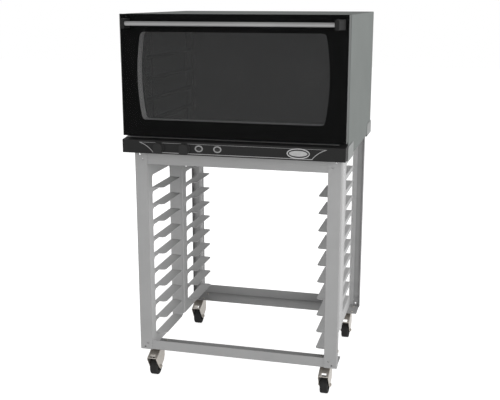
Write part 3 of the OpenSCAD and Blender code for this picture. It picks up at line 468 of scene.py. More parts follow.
def plated(name, dark, light, roughness, metallic, patch=0.007):
    """Plated or cast metal with soft patches. Patch is their size in metres."""
    made, tree, shader, place = new_finish(name, light, roughness, metallic)
    cells = add_node(tree, "TexVoronoi", {"Scale": 1 / patch}, {"Vector": place},
                     feature="SMOOTH_F1")
    haze = noise(tree, place, 1 / HAZE, 4.0)
    both = add_node(tree, "Math", links={0: cells.outputs[0], 1: haze}, operation="MULTIPLY")
    vary_colour(tree, shader, dark, light, full_range(tree, SPANGLE_SPAN, both.outputs[0]))
    vary_roughness(tree, shader, roughness - 0.06, roughness + 0.08, haze)
    return made


zinc_steel = plated("zinc_plated_pressed_steel", "#b3aea6", "#cfcac2", 0.34, 0.55)
bolt_steel = plated("zinc_plated_bolt", "#aaa69f", "#c6c2ba", 0.32, 0.6, 0.003)
crown_steel = plated("yellowed_zinc_plate", "#756e66", "#857d74", 0.42, 0.35)
fork_steel = plated("bright_zinc_plated_fork", "#ccc6be", "#dad4cc", 0.3, 0.8)
motor_metal = plated("painted_motor_can", "#2b2b2b", "#383838", 0.5, 0.2)
element_metal = plated("oxidised_heater_sheath", "#3b3532", "#57504b", 0.5, 0.5)
fan_metal = plated("stainless_fan_wheel", "#8f918f", "#a4a6a4", 0.36, 0.6)
badge_metal = plated("satin_zinc_badge", "#b0b0b0", "#bebebe", 0.4, 0.3, 0.004)
badge_face = plated("brushed_zinc_badge_face", "#a6a6a6", "#b2b2b2", 0.45, 0.3, 0.004)
print("metals made")

# %% [markdown]
# The door is a sheet of grey tinted toughened glass. A black enamel is printed and fired on its back,
# except for the window. Real refracting glass would keep the lamps out of the cavity in the render, so the
# thin sheet is drawn as a pane: mostly see-through, a little dark, with a weak mirror. Smears of about a
# hand's width make it a little duller here and there. The print behind it is matt black.

# %% Make the glasses and the prints
SMEAR = 1 / 9


def pane(name, tint, solid, shine, roughness=0.03):
    """A thin sheet of tinted glass. Solid is the share of it that isn't see-through."""
    made, tree, shader, place = new_finish(name, tint, roughness, 0.0,
                                           {"Alpha": solid, "Specular IOR Level": shine})
    vary_roughness(tree, shader, roughness, roughness + 0.05, noise(tree, place, 1 / SMEAR, 4.0))
    return made


outer_pane = pane("tinted_toughened_glass", "#101111", 0.28, 0.05)
inner_pane = pane("heat_reflecting_glass", "#5c5d5d", 0.26, 0.05)
window_coating = pane("heat_reflecting_coating", "#a6a6a6", 0.16, 0.05)
lamp_pane = pane("borosilicate_lamp_glass", "#8f9291", 0.5, 0.5, 0.12)
print_black = moulded("fired_black_enamel", "#151515", "#181818", 0.7, 0.002, 0.0, 0.05)
lens_dark = moulded("dark_polycarbonate_lens", "#141414", "#191919", 0.18, 0.004, 0.02, 0.5)
line_ink = moulded("screen_printed_grey_ink", "#949494", "#9e9e9e", 0.55, 0.002, 0.0, 0.1)
groove_enamel = moulded("black_badge_enamel", "#1b1b1b", "#222222", 0.35, 0.002, 0.05, 0.4)
# The window's lining is painted almost white, as painted light for the light that the two panes keep from it.
window_paint_lightened = moulded("grey_stoved_enamel_lightened", "#d0d0d0", "#d8d8d8", 0.5, 0.0015, 0.03, 0.2)
print("glasses and prints made")

# %% [markdown]
# Two materials are only seen with the door open or from behind: the mineral wool around the cavity, which
# is a mat of fine fibres drawn about 1 mm thick and 8 mm long, and the white ceramic of the lamp holder,
# which is glazed.

# %% Make the wool and the ceramic
FIBRES_PER_METRE = (900, 120, 900)
wool, wool_tree, wool_shader, wool_place = new_finish("mineral_wool_mat", "#b7a468", 0.95)
fibres_at = add_node(wool_tree, "Mapping", {"Scale": FIBRES_PER_METRE}, {"Vector": wool_place})
fibres = noise(wool_tree, fibres_at.outputs[0], 1.0, 6.0)
vary_colour(wool_tree, wool_shader, "#8e7d49", "#cdbb80", fibres)
emboss(wool_tree, wool_shader, 0.8, 0.8 * MM, fibres)
ceramic = moulded("glazed_steatite_ceramic", "#d8d5ca", "#e4e1d6", 0.2, 0.003, 0.05, 0.5)
print("wool and ceramic made")

# %% [markdown]
# ## A finish for every node
#
# The record gives each node a material slot. Nodes whose shape is right as it is only need the finish, so
# every node gets one here, and the nodes that are copied and rounded later are hidden by their copies.

# %% Put the finishes on the nodes
finish_of_slot = {
    "cabinet_steel": cabinet_sheet, "cavity_steel": cavity_sheet, "window_steel": window_paint_lightened,
    "glass": inner_pane, "black_print": print_black, "panel_black": panel_plastic,
    "black_plastic": knob_plastic, "seal_rubber": seal_rubber, "handle_steel": handle_metal,
    "ring_grey": ring_plastic, "lens_dark": lens_dark, "plate_metal": badge_metal,
    "stand_steel": stand_upright, "bracket_steel": bracket_sheet, "wheel_rubber": tyre_rubber,
    "hub_plastic": hub_plastic, "mineral_wool": wool, "element_metal": element_metal,
    "motor_metal": motor_metal, "lamp_ceramic": ceramic, "zinc_steel": zinc_steel,
}
finish_of_node = {"fan_left": fan_metal, "fan_right": fan_metal, "door_glass": outer_pane,
                  "lamp_lens": lamp_pane}
for name, node in nodes.items():
    paint(node, finish_of_node.get(name, finish_of_slot[slot_of[name]]))
print(len(nodes), "nodes have a finish")

# %% [markdown]
# ## Folded sheet
#
# The stand's legs, rails, slide panels and brackets are blanks of 2 mm stainless, laser cut and folded.
# Their copies get round folds and the fine broken edge of a brushed blank. The cabinet and the door's shell
# are made the same way. The cavity, the window's lining and the small sheet parts only have their edges
# broken. Each node stands with its finish and the width of its broken edge in millimetres.

# %% Round the sheet pieces
for node, finish, width in (
        ("front_legs", stand_upright, 0.3), ("rear_legs", stand_upright, 0.3),
        ("top_rail_front", stand_across, 0.3), ("top_rail_rear", stand_across, 0.3),
        ("bottom_rail_front", stand_across, 0.3), ("bottom_rail_rear", stand_across, 0.3),
        ("slide_panel_left", slide_sheet_lightened, 0.3), ("slide_panel_right", slide_sheet_lightened, 0.3),
        ("seat_brackets", bracket_sheet, 0.4), ("cabinet_shell", cabinet_sheet, 0.4),
        ("door_shell", door_sheet, 0.4)):
    soften(node, finish, width, FOLD)
for node, finish, width in (
        ("front_frame", cavity_sheet, 0.4), ("cavity_liner", lit_wall_sheet, 0.3),
        ("fan_guard", cavity_sheet, 0.2), ("tray_runners", runner_sheet, 0.2),
        ("window_liner", window_paint_lightened, 0.3), ("hinge_arms", zinc_steel, 0.5),
        ("control_chassis", zinc_steel, 0.3), ("steam_outlet", cavity_sheet, 0.4)):
    soften(node, finish, width)

# %% [markdown]
# ## Mouldings, glass and seals
#
# A moulding is rounder than a sheet: nylon fills a mould's corners with a radius near 1 mm. The outer glass
# has ground edges, which are flat chamfers of just under a millimetre. The seals are extruded silicone, and
# soft. The last number is how many facets make the round.

# %% Round the mouldings, the glass and the seals
for node, finish, width, segments in (
        ("fascia", panel_plastic, 1.2, 3), ("handle_ends", handle_plastic, 1.8, 3),
        ("timer_knob", knob_plastic, 1.2, 3), ("thermostat_knob", knob_plastic, 1.2, 3),
        ("pilot_bezels", ring_plastic, 0.8, 3), ("cable_gland", gland_plastic, 0.8, 3),
        ("switches", switch_plastic, 0.8, 2), ("handle_bar", handle_metal, 0.6, 2),
        ("door_glass", outer_pane, 0.8, 1), ("inner_glass", inner_pane, 0.6, 1),
        ("door_gasket", seal_rubber, 1.8, 3), ("glass_seal", seal_rubber, 0.8, 2),
        ("oven_pads", seal_rubber, 1.2, 2), ("hinge_pins", bolt_steel, 0.4, 2),
        ("fan_motors", motor_metal, 2.0, 3), ("fan_left", fan_metal, 0.3, 2),
        ("fan_right", fan_metal, 0.3, 2)):
    soften(node, finish, width, segments=segments)
print("mouldings, glass and seals are round")

# %% [markdown]
# Inside the window, the back of the outer glass carries a coating that sends the cavity's heat back. From
# outside it gives the dark window its even grey. It is a film of a few hundredths of a millimetre with the
# outline of the opening in the print. That outline is read from the print's own mesh: the walls of the
# opening face neither front nor back, and they look towards its middle. It is filled, made a hair smaller,
# and given a thickness.

# %% Coat the window
FILM_SHRINK, FILM_THICK = 0.0004, 0.05
WALL_TILT, SAME_PLACE = 0.1, 0.01 * MM


def mean_place(verts):
    """The mean place of some points."""
    return sum((vert.co for vert in verts), Vector()) / len(verts)


film = copy_of("glass_print")
net = bmesh.new()
net.from_mesh(film.data)
net.normal_update()
print_rear = max(vert.co.y for vert in net.verts)
middle = mean_place(net.verts)
walls = [face for face in net.faces if abs(face.normal.y) < WALL_TILT
         and face.normal.dot(middle - face.calc_center_median()) > 0]
rim = {vert for face in walls for vert in face.verts if abs(vert.co.y - print_rear) < SAME_PLACE}
bmesh.ops.delete(net, geom=[vert for vert in net.verts if vert not in rim], context="VERTS")
bmesh.ops.contextual_create(net, geom=net.edges[:])
centre = mean_place(net.verts)
for vert in net.verts:
    vert.co = centre + (vert.co - centre) * (1 - FILM_SHRINK)
net.normal_update()
net.to_mesh(film.data)
net.free()
modify(film, "SOLIDIFY", thickness=FILM_THICK * MM, offset=0)
dress(film, "window_coating", window_coating, "door")
print("coating of", len(film.data.polygons), "faces,", short(film.dimensions), "m")

# %% [markdown]
# A second, slim lip of black silicone runs around the door opening, close to the outside. It keeps crumbs
# out of the gap, and its black is also painted shade: from the side it stands in for the shade in that gap,
# as a thin dark line. It is a profile bought by the metre and glued to the front of the cabinet, so it is
# drawn as three straight lengths with soft edges.

# %% Glue the lip around the door opening
LIP_WIDE, LIP_PROUD, LIP_ROUND, LIP_JOINT = 3, 4.2, 0.6, 0.1
LIP_OUT, LIP_DOWN, LIP_START = 1.2, 0.6, 72
frame_low, frame_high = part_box("front_frame")
lip_base, lip_top = frame_low.z + LIP_START * MM, frame_high.z - LIP_DOWN * MM
lip_end = frame_high.x + LIP_OUT * MM
lip_y = frame_low.y - LIP_PROUD / 2 * MM
side_size = (LIP_WIDE * MM, LIP_PROUD * MM, lip_top - lip_base)
top_size = (2 * (lip_end - (LIP_WIDE + LIP_JOINT) * MM), LIP_PROUD * MM, LIP_WIDE * MM)
lengths = [block((side * (lip_end - LIP_WIDE / 2 * MM), lip_y, (lip_base + lip_top) / 2), side_size)
           for side in (1, -1)]
lengths.append(block((0, lip_y, lip_top - LIP_WIDE / 2 * MM), top_size))
for length in lengths:
    break_edges(length, LIP_ROUND * MM)
dress(joined(lengths), "door_gap_shade_lip", seal_rubber, "frame")
print("lip from z", round(lip_base, 3), "to", round(lip_top, 3))

# %% [markdown]
# ## Turned pieces
#
# Screws, tyres and hubs are turned shapes. Half of the outline is drawn once as points of radius and
# height, and spun around its axis, as the Spin tool does. The poles and the seam are merged so that the
# piece is closed. It then stands upright, and a matrix turns it and sets it in its place.

# %% Spin an outline
SEAM = 0.002 * MM
TO_BACK = Matrix.Rotation(math.radians(-90), 4, "X")
TO_FRONT = Matrix.Rotation(math.radians(90), 4, "X")


def pointing(side, place):
    """Turns an upright piece to point right (side 1) or left (side -1), and sets it at a place."""
    return Matrix.Translation(place) @ Matrix.Rotation(math.radians(90 * side), 4, "Y")


def spun(name, outline, steps=48, where=UPRIGHT):
    """A closed turned piece from (radius, height) points in millimetres."""
    net = bmesh.new()
    ring = [net.verts.new((radius * MM, 0, height * MM)) for radius, height in outline]
    wires = [net.edges.new(pair) for pair in zip(ring, ring[1:])]
    bmesh.ops.spin(net, geom=ring + wires, axis=(0, 0, 1), cent=(0, 0, 0), angle=math.tau, steps=steps)
    bmesh.ops.remove_doubles(net, verts=net.verts, dist=SEAM)
    bmesh.ops.recalc_face_normals(net, faces=net.faces)
    return from_net(name, net, where)


def spread(piece, places):
    """Copies a piece to each place, each copy with its own mesh, and joins the copies."""
    made = []
    for place in places:
        made.append(from_mesh(piece.name + "_copy", piece.data.copy()))
        made[-1].data.transform(Matrix.Translation(place))
    bpy.data.objects.remove(piece)
    return joined(made)


print("turned pieces are merged where points lie within", SEAM / MM, "mm")

# %% [markdown]
# The stand's bolts are one CAD node. Its separate solids tell where each bolt is and which way it points,
# so the new bolts are set at those places: a washer and a domed head with a round socket on one side, and a
# hexagon nut with the end of the thread on the other.

# %% Find the separate solids of a node
def loose_boxes(node):
    """The lowest and highest corner of each separate solid in a node, from left to right."""
    net = bmesh.new()
    net.from_mesh(nodes[node].data)
    bmesh.ops.remove_doubles(net, verts=net.verts, dist=MERGE)
    waiting, boxes = set(net.verts), []
    while waiting:
        grown = [waiting.pop()]
        for vert in grown:
            for edge in vert.link_edges:
                other = edge.other_vert(vert)
                if other in waiting:
                    waiting.remove(other)
                    grown.append(other)
        low, high = (Vector([extreme(vert.co[axis] for vert in grown) for axis in (X, Y, Z)])
                     for extreme in (min, max))
        boxes.append((low, high))
    net.free()
    return sorted(boxes, key=lambda box: tuple(box[0]))


bolt_boxes = loose_boxes("stand_bolts")
upright = [(low, high) for low, high in bolt_boxes if high.z - low.z > high.x - low.x]
sideways = [(low, high) for low, high in bolt_boxes if high.z - low.z <= high.x - low.x]
print(len(upright), "caster bolts and", len(sideways), "bolts at the legs")


# %% Shape a head, a nut and the end of a thread
def hexagon(name, across, thick, finish, where=UPRIGHT):
    """A hexagon nut with chamfered corners, its base at the origin. Sizes are in millimetres."""
    bpy.ops.mesh.primitive_cylinder_add(vertices=6, radius=across * MM / math.sqrt(3), depth=thick * MM,
                                        location=(0, 0, thick * MM / 2))
    nut = settle(bpy.context.object)
    nut.name = name
    break_edges(nut, 0.5 * MM, 1)
    nut.data.transform(where)
    return paint(nut, finish)


def socket_head(name, finish, radius, tall, where=UPRIGHT):
    """A domed bolt head on a washer, with a round socket in it. Sizes are in millimetres."""
    washer = [(0, 0), (radius + 0.4, 0), (radius + 0.4, 0.8), (radius, 0.8)]
    dome = [(radius - 0.2, 1.6), (0.78 * radius, 0.8 * tall), (0.52 * radius, tall)]
    socket = [(0.5 * radius, tall - 0.1), (0.45 * radius, tall - 1.6), (0, tall - 1.6)]
    return paint(smooth(spun(name, washer + dome + socket, 24, where), 50), finish)


def thread_end(name, finish, tall, where=UPRIGHT):
    """The chamfered end of a bolt's thread. Sizes are in millimetres."""
    return paint(spun(name, [(0, 0.2), (2.6, 0.2), (2.9, 0.6), (2.9, tall), (0, tall)], 24, where), finish)


# %% Set the bolts
CASTER_SEAT, LEG_SEAT = 4, 3
NUT_ACROSS, NUT_THICK = 8.6, 3
feet = [Vector(((low.x + high.x) / 2, (low.y + high.y) / 2, low.z)) for low, high in upright]
seats = [Vector((foot.x, foot.y, high.z - CASTER_SEAT * MM)) for foot, (low, high) in zip(feet, upright)]
pieces = [spread(socket_head("caster_bolt_heads", bolt_steel, 4.6, 3.4), seats),
          spread(hexagon("caster_bolt_nuts", NUT_ACROSS, NUT_THICK, bolt_steel), feet),
          spread(thread_end("caster_bolt_threads", bolt_steel, 8), feet)]
for low, high in sideways:
    side, inner, outer = (1, low.x, high.x) if low.x > 0 else (-1, high.x, low.x)
    centre = halfway(low, high)
    seat = pointing(side, (outer - side * LEG_SEAT * MM, centre.y, centre.z))
    foot = pointing(side, (inner, centre.y, centre.z))
    pieces += [socket_head("leg_bolt_head", bolt_steel, 5.1, 2.6, seat),
               hexagon("leg_bolt_nut", NUT_ACROSS, NUT_THICK, bolt_steel, foot),
               thread_end("leg_bolt_thread", bolt_steel, 6, foot)]
dress(joined(pieces), "stand_bolt_set", None, "frame", ("stand_bolts",))
print(len(bolt_boxes), "bolts set")

# %% [markdown]
# ## Casters
#
# Each caster is a pressed fork of zinc-plated steel that swivels on a ball race under a top plate. The
# wheel is a hard black rubber tyre, bonded to a hub of black polypropylene with six ribs. The tyre has a
# flat tread with a sharp shoulder and a shallow step in each side.

# %% Round the forks and the top plates
casters = [name.removeprefix("fork_") for name in nodes if name.startswith("fork_")]
soften("caster_plates", crown_steel, 0.5)
for corner in casters:
    soften("fork_" + corner, fork_steel, 0.5, FOLD)
print("casters:", casters)


# %% Turn the tyres and the hubs
def both_sides(half):
    """A closed outline from the points of its upper half."""
    return half + [(radius, -height) for radius, height in reversed(half)] + [half[0]]


tyre_side = [(20, 15), (25.4, 15), (25.8, 14.5), (27.2, 14.5), (27.6, 15), (29.4, 14.8), (31.2, 13.9)]
tread = [(32.3, 12.4), (32.5, 11.6), (32.5, 8.9), (32.2, 8.6), (32.2, 8.1), (32.5, 7.8)]
hub_half = [(4.1, 17.6), (8.4, 17.6), (9, 17), (9, 9), (16.6, 8.4), (17.4, 12.6), (18.2, 13), (20, 13)]
RIBS, RIB_WIDE, RIB_PROUD, RIB_LONG, RIB_MIDDLE = 6, 2.4, 11.5, 9, 12.8
for corner in casters:
    onto = pointing(1, halfway(*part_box("tyre_" + corner)))
    tyre = smooth(spun("tyre_" + corner, both_sides(tyre_side + tread), 96, onto), 28)
    dress(tyre, "rubber_tyre_" + corner, tyre_rubber, "wheel_" + corner, ("tyre_" + corner,))
    parts = [smooth(spun("hub_" + corner, both_sides(hub_half), 48, onto), 28)]
    for k in range(RIBS):
        rib = block((RIB_MIDDLE * MM, 0, 0), (RIB_LONG * MM, RIB_WIDE * MM, 2 * RIB_PROUD * MM))
        break_edges(rib, 0.5 * MM)
        rib.data.transform(onto @ Matrix.Rotation(math.tau * k / RIBS, 4, "Z"))
        parts.append(rib)
    dress(joined(parts), "ribbed_hub_" + corner, hub_plastic, "wheel_" + corner,
          ("hub_" + corner,))
print("wheels turned, with", RIBS, "ribs in each hub")

# %% [markdown]
# The axle of each wheel is a bolt with a hexagon nut on each side of the fork.

# %% Put nuts on the axles
AXLE_NUT_ACROSS, AXLE_NUT_THICK, AXLE_NUT_SUNK = 10, 2.4, 0.4
for corner in casters:
    low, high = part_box("fork_" + corner)
    axle = halfway(*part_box("hub_" + corner))
    pair = [hexagon("axle_nut", AXLE_NUT_ACROSS, AXLE_NUT_THICK, bolt_steel,
                    pointing(side, (outer - side * AXLE_NUT_SUNK * MM, axle.y, axle.z)))
            for side, outer in ((1, high.x), (-1, low.x))]
    dress(joined(pair), "axle_nuts_" + corner, None, "fork_" + corner)
print(len(casters), "axles fastened")

# %% [markdown]
# ## Control panel
#
# The panel's front carries a fine line in light grey ink: a straight top and bottom, joined at each end by
# a curve that sweeps up to a point. It is printed, so it is a flat ribbon a twentieth of a millimetre in
# front of the panel. The two pilot lamps have domed dark lenses in their rings.

# %% Print the outline
INK_WIDE, INK_PROUD, SHARPEST = 2.4, 0.05, 0.45
TIP, BEND, HEEL = (336, 16.4), (303.5, 5.2), (286.5, -18.2)


def sweep(start, bend, end, steps=10):
    """Points of a curve from start to end that leaves and arrives along lines through bend."""
    return [[(1 - t) ** 2 * start[i] + 2 * t * (1 - t) * bend[i] + t * t * end[i] for i in (0, 1)]
            for t in (k / steps for k in range(steps + 1))]


panel_low, panel_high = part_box("fascia")
panel_middle = halfway(*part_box("timer_knob")).z
right_curve = sweep(TIP, BEND, HEEL)
path = right_curve + [[-x, z] for x, z in reversed(right_curve)]
net = bmesh.new()
rims = []
for k, (x, z) in enumerate(path):
    before, after = path[k - 1], path[(k + 1) % len(path)]
    into = Vector((x - before[0], z - before[1])).normalized()
    out = Vector((after[0] - x, after[1] - z)).normalized()
    onward = (into + out).normalized()
    aside = Vector((-onward.y, onward.x)) * INK_WIDE / 2 / max(SHARPEST, onward.dot(into))
    rims.append([net.verts.new(((x + hand * aside.x) * MM, panel_low.y - INK_PROUD * MM,
                                panel_middle + (z + hand * aside.y) * MM)) for hand in (-1, 1)])
for (low_from, high_from), (low_to, high_to) in zip([rims[-1]] + rims, rims):
    net.faces.new((low_from, high_from, high_to, low_to))
bmesh.ops.recalc_face_normals(net, faces=net.faces)
if net.faces[0].normal.y > 0:
    bmesh.ops.reverse_faces(net, faces=net.faces)
dress(from_net("printed_outline", net), "printed_outline", line_ink, "frame")
print("outline printed with", len(path), "points")

# %% [markdown]
# A lens and the blank plate's face are both oval caps: rings of points that shrink towards the middle and
# rise as they do, with a short skirt behind the rim. The bare plate has a bright rim, a black groove and a
# bright centre.

# %% Dome the lenses and finish the blank plate
DOME_FULLNESS, SKIRT = 2.2, 0.6


def oval_dome(name, corners, inset, front, rise, finish, rings=5, steps=40):
    """An oval cap, inset in an oval's box with its rim at y = front. Inset and rise are in millimetres."""
    low, high = corners
    wide, tall = (high.x - low.x) / MM - 2 * inset, (high.z - low.z) / MM - 2 * inset
    place = Matrix.Translation((halfway(low, high).x, front, halfway(low, high).z))
    net = bmesh.new()
    angles = [math.tau * k / steps for k in range(steps)]
    loops = []
    for ring in range(rings):
        share = 1 - ring / rings
        proud = rise * (1 - share ** DOME_FULLNESS) * MM
        loops.append([net.verts.new((wide / 2 * share * math.cos(angle) * MM, -proud,
                                     tall / 2 * share * math.sin(angle) * MM)) for angle in angles])
    top = net.verts.new((0, -rise * MM, 0))
    base = [net.verts.new((vert.co.x, SKIRT * MM, vert.co.z)) for vert in loops[0]]
    for outer, inner in zip([base] + loops, loops):
        for k in range(steps):
            net.faces.new((outer[k - 1], outer[k], inner[k], inner[k - 1]))
    for k in range(steps):
        net.faces.new((loops[-1][k - 1], loops[-1][k], top))
    net.faces.new(base)
    bmesh.ops.recalc_face_normals(net, faces=net.faces)
    return paint(smooth(from_net(name, net, place), 50), finish)


LENS_INSET, LENS_RISE = 4.7, 1.2
rings = loose_boxes("pilot_bezels")
lenses = [oval_dome("pilot_dome", ring, LENS_INSET, halfway(*ring).y, LENS_RISE, lens_dark) for ring in rings]
dress(joined(lenses), "domed_pilot_lenses", None, "frame")

RIM, GROOVE = 3.2, 5
GROOVE_SUNK, GROOVE_RISE = 0.7, 0.05
FACE_SUNK, FACE_RISE = 0.6, 0.5
soften("blank_plate", badge_metal, 0.5)
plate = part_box("blank_plate")
front = plate[0].y
groove = oval_dome("blank_plate_groove", plate, RIM, front + GROOVE_SUNK * MM, GROOVE_RISE, groove_enamel)
face = oval_dome("blank_plate_centre", plate, RIM + GROOVE, front + FACE_SUNK * MM, FACE_RISE, badge_face)
dress(joined([groove, face]), "blank_plate_face", None, "frame")
print("lenses:", len(rings), "and a bare oval plate from", short(plate[0]), "to", short(plate[1]))

# %% [markdown]
# Behind the panel's sloping top, a narrow strip of the steel chassis shows under the door as a thin light
# line. Its colour is kept light as painted light, so that it still reads as that line in the shade under the
# door. The top starts at the front edge's height and rises to the back, and the strip lies along it.

# %% Lay the strip behind the panel's top
FRONT_EDGE, TOP_RISE = 47, 6
STRIP_BACK, STRIP_DEEP, STRIP_THICK, STRIP_LIFT = 42, 11, 0.4, 0.25
STRIP_LEFT, STRIP_RIGHT = 397, 372
slope = TOP_RISE * MM / (panel_high.y - panel_low.y)
strip = block((0, 0, 0), ((STRIP_LEFT + STRIP_RIGHT) * MM, STRIP_DEEP * MM, STRIP_THICK * MM))
bpy.ops.transform.rotate(value=-math.atan(slope), orient_axis="X", center_override=(0, 0, 0))
bpy.ops.transform.translate(value=((STRIP_RIGHT - STRIP_LEFT) / 2 * MM, panel_low.y + STRIP_BACK * MM,
                                   panel_low.z + (FRONT_EDGE + slope * STRIP_BACK + STRIP_LIFT) * MM))
settle(strip)
break_edges(strip, 0.1 * MM)
dress(strip, "chassis_edge_strip", strip_steel_lightened, "frame")
print("strip at", short(strip.data.vertices[0].co, 4))

# %% [markdown]
# ## Screws and vents
#
# The back panel is held by pan-head screws around its rim, and each row of slots behind a fan has pressed
# hoods that keep splashes out. The fan guard and the inside of the door have the same screws.

# %% Drive the screws
def pan_screw(name, turn, finish, radius=3.6, tall=1.8):
    """A pan-head screw with a cross recess. Sizes are in millimetres."""
    head = spun(name, [(0, 0), (radius, 0), (radius, 0.5 * tall), (0.85 * radius, 0.85 * tall),
                       (0.5 * radius, tall), (0, tall)], 20)
    cutters = []
    for quarter in (0, 90):
        cutters.append(block((0, 0, tall * MM), (1.1 * radius * MM, 0.8 * MM, 1.2 * MM)))
        bpy.ops.transform.rotate(value=math.radians(quarter), orient_axis="Z", center_override=(0, 0, 0))
        settle(cutters[-1])
    cutter = joined(cutters)
    modify(head, "BOOLEAN", operation="DIFFERENCE", object=cutter, use_self=True)
    bpy.data.objects.remove(cutter)
    head.data.transform(turn)
    return paint(smooth(head, 40), finish)


def rim_places(node, face, inset, columns=3):
    """Even places along the upper and the lower rim of a node's front or rear, inset in millimetres."""
    low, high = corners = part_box(node)
    reach = high.x - inset * MM
    return [(reach * (2 * k / (columns - 1) - 1), corners[face].y, z) for k in range(columns)
            for z in (low.z + inset * MM, high.z - inset * MM)]


FRONT, REAR = 0, 1
BACK_INSET, GUARD_INSET, DOOR_INSET = 12, 14, 16
back_low, back_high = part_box("cabinet_back")
in_back = rim_places("cabinet_back", REAR, BACK_INSET, 7)
in_back += [(side * (back_high.x - BACK_INSET * MM), back_high.y, halfway(back_low, back_high).z)
            for side in (-1, 1)]
in_guard = rim_places("fan_guard", FRONT, GUARD_INSET)
in_door = rim_places("door_shell", REAR, DOOR_INSET)
back_screws = spread(pan_screw("back_screws", TO_BACK, bolt_steel), in_back)
dress(back_screws, "back_panel_screws", None, "frame")
guard_screws = spread(pan_screw("guard_screws", TO_FRONT, fan_metal), in_guard)
dress(guard_screws, "fan_guard_screws", None, "frame")
door_screws = spread(pan_screw("door_screws", TO_BACK, bolt_steel), in_door)
dress(door_screws, "door_lining_screws", None, "door")
print("screws in the back, the guard and the door:", len(in_back), len(in_guard), len(in_door))


# %% Press the hoods over the vent slots
def vent_hood(wide=64, out=4.5, tall=6.5, wall=0.8, steps=8):
    """A pressed hood, closed at its top and ends and open below, against a wall at y = 0. In millimetres."""
    net = bmesh.new()
    angles = [math.pi / 2 * k / steps for k in range(steps + 1)]
    arc = [(out * math.sin(angle), tall * math.cos(angle) - tall / 2) for angle in angles]
    sides = [[net.verts.new((x * MM, y * MM, z * MM)) for y, z in arc] for x in (-wide / 2, wide / 2)]
    heels = [net.verts.new((x * MM, 0, arc[-1][1] * MM)) for x in (-wide / 2, wide / 2)]
    for k in range(steps):
        net.faces.new((sides[0][k], sides[0][k + 1], sides[1][k + 1], sides[1][k]))
    for side, heel in zip(sides, heels):
        net.faces.new(side + [heel])
    bmesh.ops.recalc_face_normals(net, faces=net.faces)
    hood = modify(from_net("vent_hood", net), "SOLIDIFY", thickness=wall * MM, offset=-1)
    return paint(smooth(hood, 35), cabinet_sheet)


VENT_SIDE, VENT_PITCH, VENT_UP = 35, 12, 2
fan_middle = halfway(*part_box("fan_right"))
places = [(side * fan_middle.x + hand * VENT_SIDE * MM, back_high.y,
           fan_middle.z + (row * VENT_PITCH + VENT_UP) * MM)
          for side in (-1, 1) for hand in (-1, 1) for row in range(-2, 3)]
dress(spread(vent_hood(), places), "vent_hoods", None, "frame")
print(len(places), "vent hoods")

# %% [markdown]
# ## Cavity lamp
#
# The lamp on the right wall has a turned bezel and a domed borosilicate glass.

# %% Turn the lamp's bezel and glass
LAMP_RADIUS, DOME_FOOT, DOME_RISE = 21, 3, 6
lens_low, lens_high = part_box("lamp_lens")
lens_middle = halfway(lens_low, lens_high)
onto = pointing(-1, (lens_high.x, lens_middle.y, lens_middle.z))
bezel_outline = [(LAMP_RADIUS + out, height) for out, height in (
    (0, 1.6), (5, 1.6), (5, 3.4), (4, 4.4), (1, 4.8), (0, 4.2), (0, 1.6))]
bezel = smooth(spun("lamp_bezel", bezel_outline, 64, onto), 40)
dress(bezel, "lamp_bezel", fan_metal, "frame")
arc = [(LAMP_RADIUS * math.cos(angle), DOME_FOOT + DOME_RISE * math.sin(angle))
       for angle in (math.pi / 12 * k for k in range(6))]
glass_outline = [(0, 0.2), (LAMP_RADIUS, 0.2)] + arc + [(0, DOME_FOOT + DOME_RISE)]
glass = smooth(spun("lamp_glass", glass_outline, 64, onto), 60)
dress(glass, "lamp_glass_dome", lamp_pane, "frame", ("lamp_lens",))
print("lamp at", short(onto.translation))

# %% [markdown]
# ## Studio
#
# The picture is a cut-out on white with soft light from the right. The world is white for the camera and
# through glass. Mirrors see it darken from the horizon up, as a room does, and all else gets an even,
# dimmer light from it. A pale floor carries the object. It adds white for the camera, and half as much for
# mirrors, which keeps the shadow under the casters and lets the rest melt into the background.

# %% Set up the world and the floor
AMBIENT, HORIZON, ZENITH, ZENITH_AT = 0.56, 0.85, 0.28, 0.85
CAMERA_LIFT, MIRROR_LIFT = 0.85, 0.4
WHITE = linear("#ffffff")
world = bpy.data.worlds.new("white_studio")
bpy.context.scene.world = world
world.use_nodes = True
sky = world.node_tree
sky.nodes.clear()
ray = add_node(sky, "LightPath").outputs
camera_or_glass = add_node(sky, "Math", operation="MAXIMUM",
                           links={0: ray["Is Camera Ray"], 1: ray["Is Transmission Ray"]})
way = add_node(sky, "TexCoord").outputs["Generated"]
height = add_node(sky, "SeparateXYZ", links={0: way}).outputs["Z"]
ceiling = add_node(sky, "MapRange",
                   {"From Min": 0.0, "From Max": ZENITH_AT, "To Min": HORIZON, "To Max": ZENITH},
                   {"Value": height})
soft = add_node(sky, "Background", {"Color": WHITE, "Strength": AMBIENT})
mirrored = add_node(sky, "Background", {"Color": WHITE}, {"Strength": ceiling.outputs[0]})
white = add_node(sky, "Background", {"Color": WHITE, "Strength": 1.0})
in_mirror = add_node(sky, "MixShader",
                     links={0: ray["Is Glossy Ray"], 1: soft.outputs[0], 2: mirrored.outputs[0]})
choice = add_node(sky, "MixShader",
                  links={0: camera_or_glass.outputs[0], 1: in_mirror.outputs[0], 2: white.outputs[0]})
add_node(sky, "OutputWorld", links={"Surface": choice.outputs[0]})

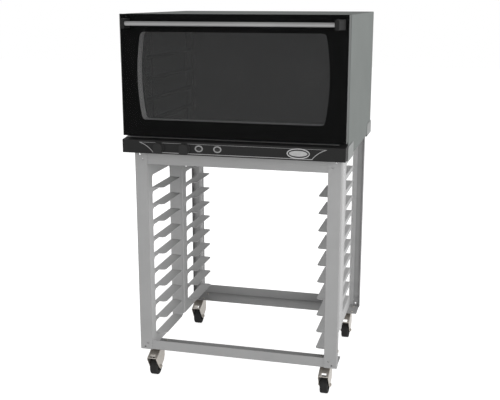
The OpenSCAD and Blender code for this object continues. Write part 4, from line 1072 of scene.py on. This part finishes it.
FLOOR_SIZE, FLOOR_DROP = 30, 0.5
bpy.ops.mesh.primitive_plane_add(size=FLOOR_SIZE, location=(0, 0, -FLOOR_DROP * MM))
floor = settle(bpy.context.object)
floor.name = "studio_floor"
floor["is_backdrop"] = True
paper = bpy.data.materials.new("white_paper_floor")
paper.use_nodes = True
paper.cycles.emission_sampling = "NONE"
sheet = paper.node_tree
sheet.nodes.clear()
ray = add_node(sheet, "LightPath").outputs
for_mirrors = add_node(sheet, "Math", {1: MIRROR_LIFT}, {0: ray["Is Glossy Ray"]}, operation="MULTIPLY")
lift = add_node(sheet, "Math", {1: CAMERA_LIFT},
                {0: ray["Is Camera Ray"], 2: for_mirrors.outputs[0]}, operation="MULTIPLY_ADD")
matt = add_node(sheet, "BsdfDiffuse", {"Color": linear("#b8b8b8")})
glow = add_node(sheet, "Emission", {"Color": WHITE}, {"Strength": lift.outputs[0]})
lifted = add_node(sheet, "AddShader", links={0: matt.outputs[0], 1: glow.outputs[0]})
add_node(sheet, "OutputMaterial", links={"Surface": lifted.outputs[0]})
paint(floor, paper)
print("world ambient", AMBIENT, "and a floor of", floor.dimensions[0], "m")

# %% [markdown]
# Large area lamps at a plain level light the object, so that a colour renders about as it is written.
# Mirrors don't see them, so that no bright square lies on the steel.

# %% Hang the lamps
LAMPS_AIM = Vector((0, 0, 0.8))


def softbox(name, place, size, power):
    """A square area lamp that looks at the object's middle."""
    bpy.ops.object.light_add(type="AREA", location=place)
    lamp = bpy.context.object
    lamp.name = name
    lamp.data.shape = "SQUARE"
    lamp.data.size = size
    lamp.data.energy = power
    lamp.visible_glossy = False
    lamp.rotation_euler = (LAMPS_AIM - Vector(place)).to_track_quat("-Z", "Y").to_euler()


softbox("key_softbox", (6.66, -1.18, 2.6), 3.4, 355)
softbox("front_right_fill", (2.4, -6.0, 1.9), 2.8, 140)
softbox("front_left_fill", (-1.6, -5.0, 1.4), 2.4, 22)
softbox("rear_left_fill", (-3.2, 2.6, 2.2), 2.4, 50)

# %% [markdown]
# ## Size
#
# The last cell prints the corners of the dressed object, in metres. The pieces that were added stay inside
# the frame's box.

# %% Print the size
low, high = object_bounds()
print("dressed from", short(low, 4), "to", short(high, 4))
